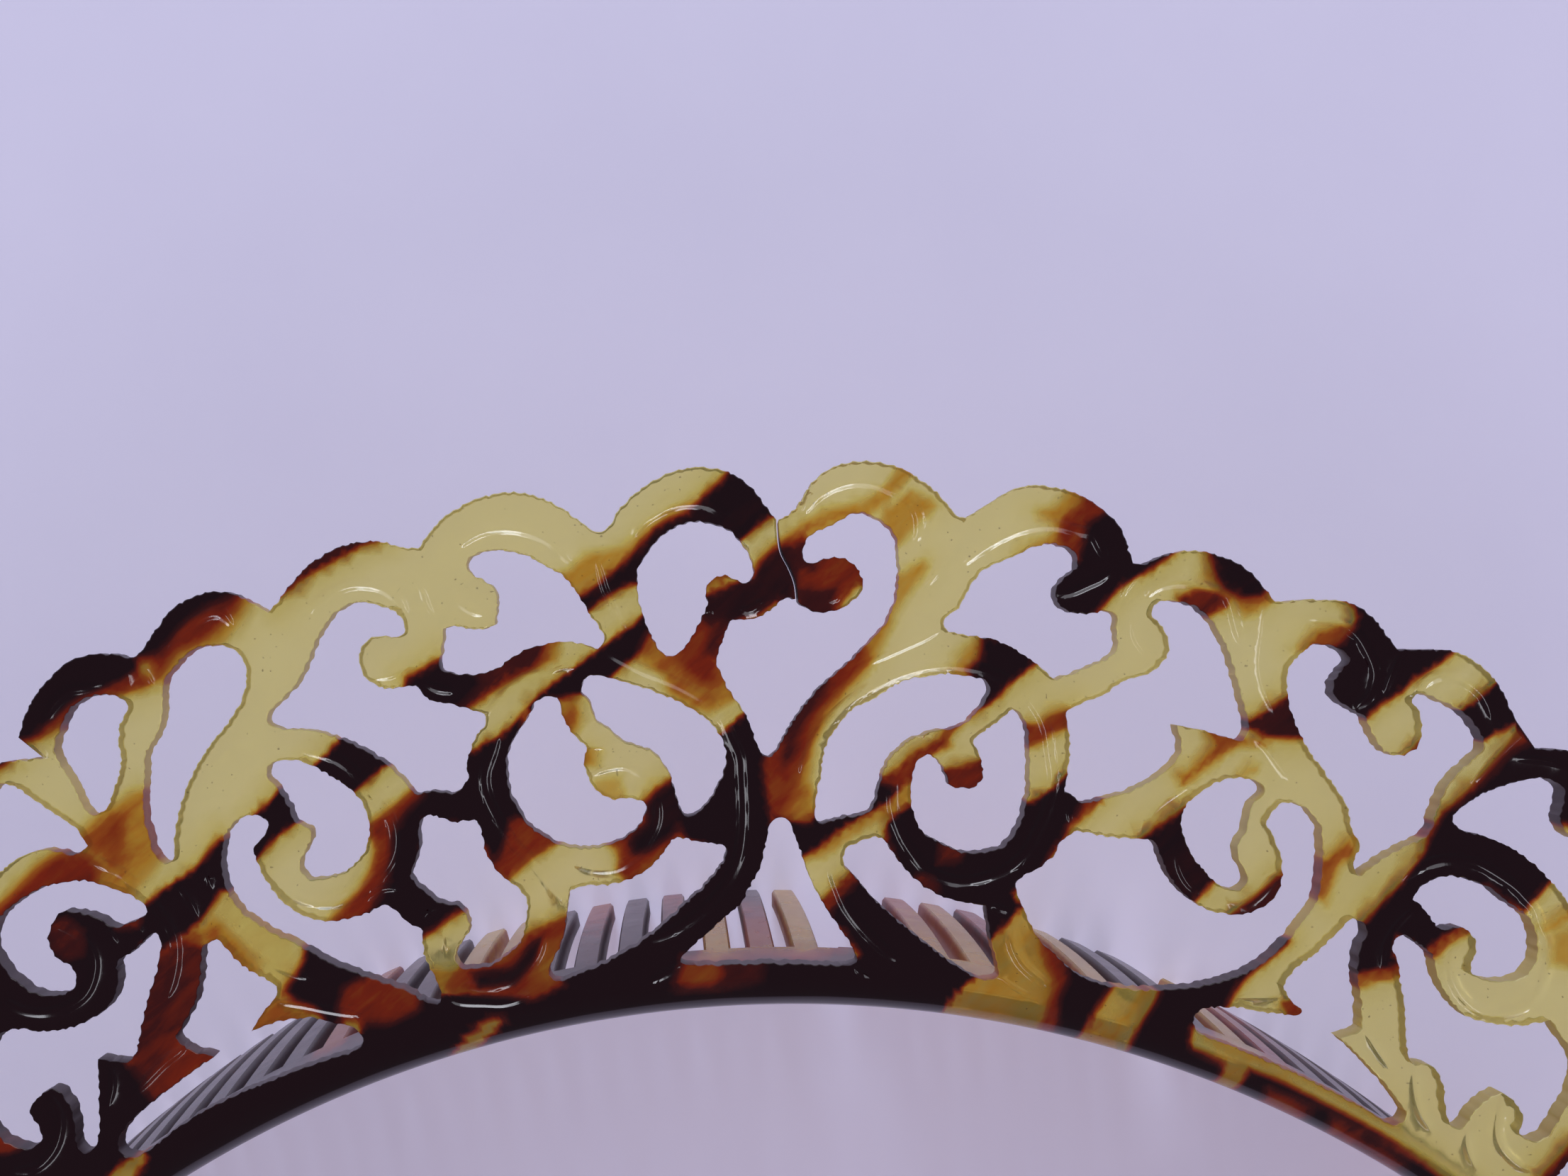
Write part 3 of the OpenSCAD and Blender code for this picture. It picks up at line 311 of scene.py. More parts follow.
     [22.0, 11.7], [23.6, 11.65], [25.1, 11.6, 1], [25.7, 10.4], [26.3, 9.0], [27.5, 7.6], [28.8, 6.7],
     [30.3, 6.3], [32.0, 6.4], [33.5, 7.2], [34.3, 8.6], [34.3, 10.3], [33.7, 11.9], [33.3, 12.8],
     [33.8, 13.7], [34.7, 14.15], [36.0, 13.7], [36.9, 12.6], [37.1, 11.0], [37.0, 9.0], [36.6, 7.2],
     [35.4, 5.5], [33.7, 3.6], [31.6, 2.25], [29.2, 1.5], [26.5, 1.1], [23.7, 1.15], [21.5, 1.5],
     [19.9, 2.15], [18.5, 3.4], [17.2, 4.6], [16.4, 6.1]],
    # right gap along the band
    [[28.1, -1.1], [28.5, -0.5], [29.6, -0.3], [31.5, -0.35], [33.5, -0.7], [35.3, -0.8], [35.7, -0.4],
     [35.1, 0.1], [34.6, 0.9], [34.6, 1.6], [35.4, 2.5], [37.0, 3.8], [38.5, 5.3], [39.3, 6.0],
     [40.2, 5.3], [39.7, 3.8], [39.5, 2.0], [39.8, 0.0], [39.9, -1.8, 1], [38.3, -2.4, 1], [39.6, -3.6],
     [41.2, -5.3], [42.5, -6.9], [43.0, -7.8], [42.5, -8.4], [41.7, -8.3], [40.2, -7.35], [37.6, -5.95],
     [34.6, -4.5], [31.4, -3.15], [29.1, -2.3], [28.3, -1.8]],
    # right outer base gap
    [[42.7, 4.85], [43.5, 4.5], [44.8, 3.4], [45.2, 2.0], [45.9, 0.6], [47.1, -0.8], [48.5, -1.3],
     [50.6, -1.6], [52.4, -1.4], [53.2, -1.2], [53.9, -2.2], [54.9, -3.6], [55.2, -4.8], [54.8, -6.2],
     [53.9, -7.9], [53.0, -9.2], [52.0, -9.6], [51.1, -9.1], [51.35, -8.0], [50.7, -6.8], [49.6, -6.2],
     [48.4, -6.9], [47.6, -7.8], [47.0, -8.7], [46.2, -8.5], [45.9, -7.2], [45.7, -5.5], [45.0, -4.4],
     [44.2, -4.15], [43.5, -4.1], [43.1, -2.5], [43.0, -0.3], [42.7, 1.7], [42.5, 3.1], [42.1, 4.0]],
    # right outer ring
    [[43.5, 7.4], [44.2, 8.3], [45.6, 8.95], [47.4, 8.75], [49.0, 8.1], [50.4, 7.0], [51.7, 6.0],
     [52.2, 4.6], [52.1, 3.0], [51.2, 1.95], [49.4, 1.65], [47.9, 2.1], [47.7, 2.8], [48.1, 3.8],
     [47.9, 4.8], [46.9, 5.5], [45.5, 5.35], [44.8, 6.2], [43.9, 7.2]],
    # right outer lobe
    [[46.35, 13.1], [47.3, 14.1], [49.0, 15.0], [51.0, 15.7], [52.7, 15.9], [54.1, 15.3], [54.1, 14.4],
     [53.8, 13.2], [54.3, 12.1], [55.4, 11.5], [56.6, 11.6], [57.6, 11.2], [57.9, 9.9], [57.4, 8.2],
     [56.9, 6.4], [56.2, 5.5], [55.3, 6.1], [54.0, 7.9], [52.3, 9.8], [50.6, 11.0], [48.6, 11.9],
     [47.0, 12.35]]
]

# Top outline of the crest from left to right
TOP = [
    [-54.9, 18.8, 1], [-54.6, 20.1], [-53.9, 21.6], [-52.5, 23.3], [-51.0, 24.4], [-48.9, 24.8],
    [-46.9, 24.5, 1], [-46.2, 25.0], [-45.4, 26.3], [-44.3, 27.7], [-43.0, 28.65], [-41.0, 29.2],
    [-39.2, 28.8], [-37.3, 27.7, 1], [-36.7, 28.4], [-35.8, 29.6], [-34.7, 30.8], [-33.2, 31.9],
    [-31.4, 32.6], [-29.4, 32.75], [-27.9, 32.3], [-26.7, 32.3, 1], [-26.0, 33.2],
    [-24.8, 34.5], [-22.9, 35.6], [-20.6, 36.2], [-18.5, 36.0], [-16.4, 35.0], [-15.1, 34.0],
    [-14.05, 33.35], [-13.2, 33.8], [-12.6, 34.9], [-11.3, 36.2], [-9.6, 37.3], [-7.9, 37.85],
    [-6.2, 37.95], [-4.5, 37.5], [-3.1, 36.5], [-2.1, 35.2], [-1.3, 34.3, 1], [-0.8, 34.45],
    [0.0, 35.2], [1.1, 36.9], [2.3, 37.8], [3.8, 38.35], [5.3, 38.4], [7.0, 38.05],
    [8.8, 37.1], [10.2, 36.0], [11.0, 34.9], [11.6, 34.4], [12.3, 34.6], [13.6, 35.4],
    [15.2, 36.35], [16.9, 36.7], [18.6, 36.5], [20.2, 35.9], [21.7, 34.9], [22.9, 33.7],
    [23.5, 32.2], [23.8, 31.1, 1], [24.8, 31.2], [26.2, 31.8], [28.2, 32.1], [30.2, 31.6],
    [31.8, 30.8], [33.0, 29.5], [33.9, 28.45, 1], [35.8, 28.6], [37.6, 28.6], [39.2, 28.35],
    [40.6, 27.5], [41.6, 26.3], [42.4, 25.1, 1], [44.2, 25.05], [46.3, 25.0], [48.0, 24.2],
    [49.4, 22.9], [50.3, 21.3], [50.85, 20.0, 1]
]

# Split through the middle of the crest
SPLIT = [[-1.35, 34.9], [-1.3, 33.3], [-1.1, 31.9], [-0.5, 30.7], [-0.1, 29.6], [0.08, 28.0]]

# Openings of the hidden ends, as shares of a motif's angle and of the pierced height
EYE = [[-0.02, 0.56], [0.12, 0.52], [0.21, 0.40], [0.20, 0.26], [0.10, 0.16], [-0.04, 0.16], [-0.12, 0.23],
    [-0.11, 0.31], [-0.03, 0.30], [0.05, 0.31], [0.09, 0.38], [0.04, 0.45], [-0.06, 0.45], [-0.14, 0.42],
    [-0.19, 0.46], [-0.14, 0.53]]
LEFT_DROP = [[-0.30, 0.97], [-0.19, 0.89], [-0.15, 0.77], [-0.24, 0.66], [-0.34, 0.54], [-0.39, 0.42],
    [-0.43, 0.50], [-0.43, 0.70], [-0.40, 0.88]]
RIGHT_DROP = [[0.22, 0.98], [0.34, 0.91], [0.40, 0.76], [0.38, 0.58], [0.35, 0.44], [0.27, 0.56],
    [0.16, 0.65], [0.02, 0.71], [0.03, 0.83], [0.11, 0.93]]
LEFT_FOOT = [[-0.40, 0.31], [-0.32, 0.19], [-0.20, 0.08], [-0.12, 0.01], [-0.28, 0.00], [-0.41, 0.02],
    [-0.43, 0.16]]
RIGHT_FOOT = [[0.31, 0.20], [0.41, 0.31], [0.43, 0.16], [0.41, 0.02], [0.26, 0.00], [0.16, 0.02],
    [0.24, 0.09]]
TALL_DROP = [[0.0, 0.95], [0.16, 0.82], [0.20, 0.55], [0.10, 0.25], [0.0, 0.06], [-0.10, 0.25],
    [-0.20, 0.55], [-0.16, 0.82]]
FULL = [EYE, LEFT_DROP, RIGHT_DROP, LEFT_FOOT, RIGHT_FOOT]

# Motifs of the hidden ends: angle, angle covered, lowest share of the height, openings
END_MOTIFS = [
    [-64.2, 5.2, 0, [TALL_DROP]],
    [-59.8, 5.8, 0, [TALL_DROP]],
    [-52.8, 9.6, 0, FULL],
    [-42.9, 10.2, 0, FULL],
    [-36.1, 5.8, 0.45, [TALL_DROP]],
    [34.6, 5.6, 0.45, [TALL_DROP]],
    [41.6, 10.4, 0, FULL],
    [51.6, 9.6, 0, FULL],
    [58.7, 5.8, 0, [TALL_DROP]],
    [63.2, 5.2, 0, [TALL_DROP]]
]

# Carved lines on the crest's face, as (width, depth, points)
GROOVES = [
    # middle left scroll
    (0.9, 0.2, [(-11.6, 32.8), (-11, 33.9), (-10, 34.6), (-8.8, 35.2), (-7.4, 35.4), (-6, 35.2),
        (-5.2, 34.6), (-4.6, 33.8), (-3.6, 32.8), (-3, 32.2)]),
    (0.6, 0.2, [(-6.3, 28.0), (-5.9, 27.3)]),
    (0.9, 0.25, [(-4.2, 28), (-3.3, 27.8), (-2.2, 28.6)]),
    (0.6, 0.16, [(-14.1, 31.5), (-13.6, 29.5), (-13.2, 28.6), (-12.5, 27), (-11.9, 26.2)]),
    # middle left ring and leg
    (0.9, 0.2, [(-13.7, 25.1), (-11.6, 24), (-10.6, 23.5), (-9, 22.9), (-7.2, 22), (-6, 21.2),
        (-5.2, 20.2), (-4.6, 18.8), (-4, 17.4), (-3.9, 16), (-3.8, 13.5), (-3.9, 11.5), (-4.3, 9.8),
        (-5.3, 8), (-6.6, 6.6), (-8.5, 5.3), (-10.5, 4.4)]),
    (0.9, 0.2, [(-21, 19), (-21.6, 17.5), (-22, 16.2), (-21.9, 15), (-21.3, 13.6), (-20.6, 12.4),
        (-19.8, 11.2), (-18.9, 10.4), (-17.5, 8.5), (-16.6, 7)]),
    (0.8, 0.2, [(-15.9, 10), (-15, 9.7), (-13.9, 9.5), (-12.5, 9.7), (-11, 10.8), (-10.4, 11.7),
        (-9.9, 12.7), (-9.8, 13.8), (-9.9, 14.8)]),
    (0.6, 0.2, [(-14.6, 16.1), (-13.5, 16.6), (-12.1, 16.8), (-11.2, 16.3), (-10.7, 16)]),
    (0.5, 0.15, [(-14.8, 18.1), (-13.2, 18.1)]),
    (0.7, 0.18, [(-22, 20.2), (-20.7, 21.8), (-19.5, 22.9), (-18, 23.6)]),
    (0.5, 0.18, [(-17.6, 23.3), (-16.6, 23.7), (-15.4, 23.8)]),
    (0.8, 0.22, [(-26.4, 22.8), (-25.4, 22.3), (-24, 22)]),
    (0.8, 0.2, [(-8, 2.9), (-9.3, 2.1), (-10.5, 1.5)]),
    (0.5, 0.15, [(-7.9, 13.1), (-7.6, 12.5)]),
    # middle right scroll
    (0.9, 0.2, [(0.4, 34.5), (1.3, 35.7), (2.6, 36.5), (4, 36.9), (5.5, 36.8), (6.8, 36.3), (7.6, 35.9),
        (8.3, 35.2), (8.7, 34.4), (8.7, 33.3), (8.3, 32.5)]),
    (0.6, 0.16, [(12.1, 34.3), (11.4, 33), (10.8, 31.8), (9.9, 30.4), (9.1, 29.4)]),
    (0.6, 0.16, [(5, 24), (7.2, 25), (9, 25.8), (10.4, 26.6)]),
    (0.8, 0.22, [(2.1, 28.4), (2.7, 28.6), (3.3, 29.2)]),
    # middle right ring and leg
    (0.9, 0.2, [(0.3, 16), (0.8, 17.5), (1.5, 19), (2.6, 20.3), (3.8, 21.4), (5.2, 22.3), (7, 23.2),
        (9, 23.8), (11, 24), (13, 23.7), (14, 23.3), (15.2, 22.7), (16.3, 21.8), (17, 20.9), (17.5, 20),
        (17.8, 19), (18, 17.5), (18.2, 16), (18, 14.8), (17.6, 13.5), (17, 12.2), (16.5, 11.2),
        (15.8, 10.3), (14.8, 9.5), (13.5, 9), (12, 8.7), (10.8, 8.8), (9.3, 9.4), (8.5, 10.3), (7.7, 11.5),
        (7.2, 12.6), (6.9, 13.6), (6.8, 14.7), (7, 16)]),
    (0.6, 0.18, [(8.6, 19), (9.6, 18.6), (10.4, 17.9), (10.9, 17.3)]),
    (0.9, 0.22, [(2.3, 10), (2.8, 8.7), (3.5, 7), (4.4, 5.7), (5.4, 4.6), (6.4, 3.7), (7.4, 3)]),
    (0.6, 0.2, [(4, 2.7), (5, 1.8), (6.2, 1.1), (7.3, 0.7)]),
    (0.8, 0.22, [(15.3, 5.6), (15.2, 4.4), (15.8, 3), (16.8, 2), (18, 1.2)]),
    (0.5, 0.15, [(14, 2.2), (15.4, 1.2), (16.8, 0.5)]),
    (0.8, 0.25, [(13.6, 7), (15.2, 6.5)]),
    # right second lobe
    (0.9, 0.2, [(11.7, 30.9), (12.6, 31.8), (14, 32.7), (15.5, 33.4), (17, 33.8), (18.5, 33.8), (20, 33.4),
        (21, 33.2), (21.5, 32.3), (22, 31.2)]),
    (0.7, 0.2, [(18.5, 28.8), (19.5, 29.1), (20.6, 29.6), (21.5, 30), (22.3, 30.6)]),
    (0.6, 0.18, [(22.9, 28.5), (23.4, 29.5), (24, 30.3), (24.4, 31)]),
    # right third lobe
    (0.9, 0.2, [(24.6, 28.6), (25.2, 29.3), (26.2, 29.7), (27.4, 29.8), (28.6, 29.5), (29.6, 29.2),
        (30.4, 28.9), (30.8, 28), (31.1, 26.8), (31.5, 25.2)]),
    (0.5, 0.1, [(33.5, 28.3), (33.1, 27.5), (32.9, 26), (32.7, 24), (33, 22.3), (33.9, 20.3)]),
    (0.6, 0.16, [(23.7, 27), (24, 25.8), (24.8, 24.7), (25.6, 24)]),
    (0.7, 0.18, [(24.2, 12), (25, 13.5), (26, 14.4), (27.4, 15.3), (28.2, 15.5)]),
    (0.5, 0.15, [(27.2, 17.7), (28, 17.6)]),
    (0.6, 0.2, [(19.2, 13.8), (19.4, 12.7)]),
    (0.6, 0.18, [(26.8, 10.6), (27.3, 9.2), (28, 8.2), (28.8, 7.8)]),
    (1.2, 0.25, [(30.3, 7.2), (31.5, 7.1), (32.5, 7.7), (33.6, 8.9), (34.2, 9.3)]),
    (0.5, 0.12, [(32.1, 18.9), (33.2, 18), (34.2, 16.7), (35, 15.6)]),
    # right fourth lobe and what lies under it
    (0.9, 0.2, [(36.2, 27.1), (37.6, 27.1), (38.6, 26.8), (39.5, 26.2), (40.2, 25.2), (40.9, 23.5),
        (40.7, 22.2), (40.3, 21.5), (39.3, 20.8)]),
    (0.6, 0.18, [(42.7, 24.8), (42.2, 23.6), (41.8, 22.6), (41.5, 21.8)]),
    (0.9, 0.2, [(43.3, 21.6), (44.5, 22.8), (45.4, 23.2), (46.6, 23.1), (47.8, 22.5), (48.6, 21.7),
        (49, 20.8), (49.1, 20)]),
    (0.8, 0.2, [(51.9, 19.9), (50.8, 18.9), (49.6, 17.8), (48.6, 16.7), (47.6, 15.5)]),
    (0.6, 0.18, [(50.6, 17.3), (52, 17.3), (53.3, 17.1), (54.2, 16.6)]),
    # right outer ring
    (0.9, 0.2, [(42.7, 8.6), (43.6, 9.4), (44.8, 10), (46, 10.2), (47.2, 10.1), (48.4, 9.8), (50.6, 8.4),
        (51.6, 7.4), (52.2, 6.7), (52.6, 5.5), (53.1, 4.3), (53.1, 2.8), (52.7, 1.5), (52.2, 0.4),
        (51.2, -0.3), (50, -0.6), (48.5, -0.5), (47.4, 0.2), (46.6, 1.3), (46.3, 2.6), (46.3, 4)]),
    (0.6, 0.16, [(41.3, 2.4), (41.5, 4), (42.2, 5.3), (43, 6.2), (43.8, 6.9)]),
    (0.6, 0.2, [(40.1, -1.9), (41, -3.2), (41.9, -4.6)]),
    (0.8, 0.22, [(43.7, -4.3), (43.7, -6), (44, -7.5), (44.8, -9)]),
    (0.8, 0.22, [(47.5, -8.8), (47.4, -10), (47.8, -11.5)]),
    (0.9, 0.22, [(50, -6.4), (49.7, -8), (49.6, -9.5), (50.2, -10.6), (51.2, -11.4), (52.4, -11.7)]),
    (0.8, 0.2, [(31, 0.4), (33, 0.5), (34.3, 0.6)]),
    # left second and third lobes
    (0.9, 0.2, [(-23.9, 32.2), (-23, 33), (-21.8, 33.5), (-20.2, 33.6), (-18.7, 33.3), (-17.4, 32.7),
        (-16.5, 31.8), (-15.8, 31)]),
    (0.7, 0.18, [(-24.7, 29.4), (-24, 28.6), (-23, 27.8), (-21.9, 27.4)]),
    (0.6, 0.15, [(-26.6, 29.8), (-26.3, 28.8), (-26, 28), (-25.5, 27.4)]),
    (0.9, 0.2, [(-34.5, 27.5), (-33.2, 28.8), (-31.5, 29.6), (-29.6, 29.5), (-28.2, 28.7), (-27.4, 27.4)]),
    (0.7, 0.18, [(-30, 23), (-28.7, 23.2), (-27.2, 23.9)]),
    # left inner ring
    (0.9, 0.2, [(-37.3, 9.2), (-36.3, 8.2), (-35, 7.5), (-33.6, 7.1), (-32.2, 7.2), (-31, 7.8),
        (-29.8, 8.7), (-28.8, 10), (-28.4, 11.3), (-28.6, 12.8), (-29.4, 14.3), (-30.4, 15.6),
        (-31.2, 16.4), (-32.2, 17.2), (-33.6, 17.7), (-35.2, 18)]),
    (0.7, 0.22, [(-30.5, 7.2), (-29.2, 8.2), (-28, 8.1)]),
    (0.5, 0.2, [(-26.6, 6.1), (-25.3, 6.9)]),
    (0.5, 0.2, [(-25, 5.4), (-24.8, 3.5)]),
    (0.9, 0.22, [(-23.5, 1.4), (-22, 1.2), (-20.5, 1.5), (-19.2, 2.3), (-18.3, 3.5), (-17.8, 4.8)]),
    (0.7, 0.2, [(-25, 0.8), (-23.8, 0.2), (-22, 0.1), (-20.5, 0.1), (-18.6, 0.7)]),
    # left leaf
    (0.8, 0.2, [(-40.5, 5.8), (-39.5, 4.9), (-38.5, 4), (-37, 2.9), (-35.5, 2.2), (-34.2, 1.8)]),
    (0.7, 0.2, [(-36.8, 0.2), (-35, 0), (-33, -0.4), (-30.6, -0.8)]),
    (0.5, 0.12, [(-42, 16), (-40, 18), (-37.5, 19)]),
    (0.4, 0.1, [(-40.5, 13.6), (-39, 14.8), (-37.6, 15.1)]),
    # left drops
    (0.8, 0.2, [(-53, 20), (-52.5, 21.1), (-51.4, 22.1), (-50.2, 22.3), (-49, 22.5)]),
    (0.9, 0.2, [(-44.6, 25), (-43.6, 26.3), (-42.3, 27.2), (-40.8, 27.6), (-39.7, 26.6)]),
    (0.6, 0.2, [(-54.5, 18.8), (-52.8, 17.2)]),
    (0.6, 0.2, [(-46.2, 23.8), (-45.3, 22.4)]),
    (0.5, 0.16, [(-47.3, 23.5), (-47, 22.2)]),
    # left outer ring
    (0.9, 0.2, [(-50.5, 10.7), (-49, 9.9), (-47.5, 9.2), (-46.4, 8.1), (-45.6, 7.3), (-44.8, 6.3),
        (-44, 5), (-43.8, 3.5), (-44, 2), (-44.5, 0.3)]),
    (0.6, 0.18, [(-43.7, 8.5), (-42.7, 7), (-42.2, 6)]),
    (0.5, 0.15, [(-41.9, 9.7), (-41.2, 7.9)]),
    (0.8, 0.2, [(-52.4, 5.6), (-51.2, 5.2), (-50.2, 4.4), (-49.6, 3.2), (-49.7, 1.8), (-50.3, 0.6),
        (-51.5, -0.2), (-53, -0.6), (-54.7, -0.4), (-56, 0.4)]),
    (0.5, 0.15, [(-49, 5.9), (-47.9, 4.1)]),
    (0.5, 0.15, [(-46.8, 6), (-46.1, 4.8)]),
    (0.8, 0.2, [(-43, -3), (-44.5, -4), (-46, -5.5), (-46.8, -6.4)]),
    (0.6, 0.2, [(-48.3, -4.2), (-48.3, -6), (-48.6, -7.3)]),
    (0.8, 0.2, [(-52.7, -6.3), (-52, -8), (-52.3, -10), (-53.6, -11.5), (-55.5, -11.8)]),
]

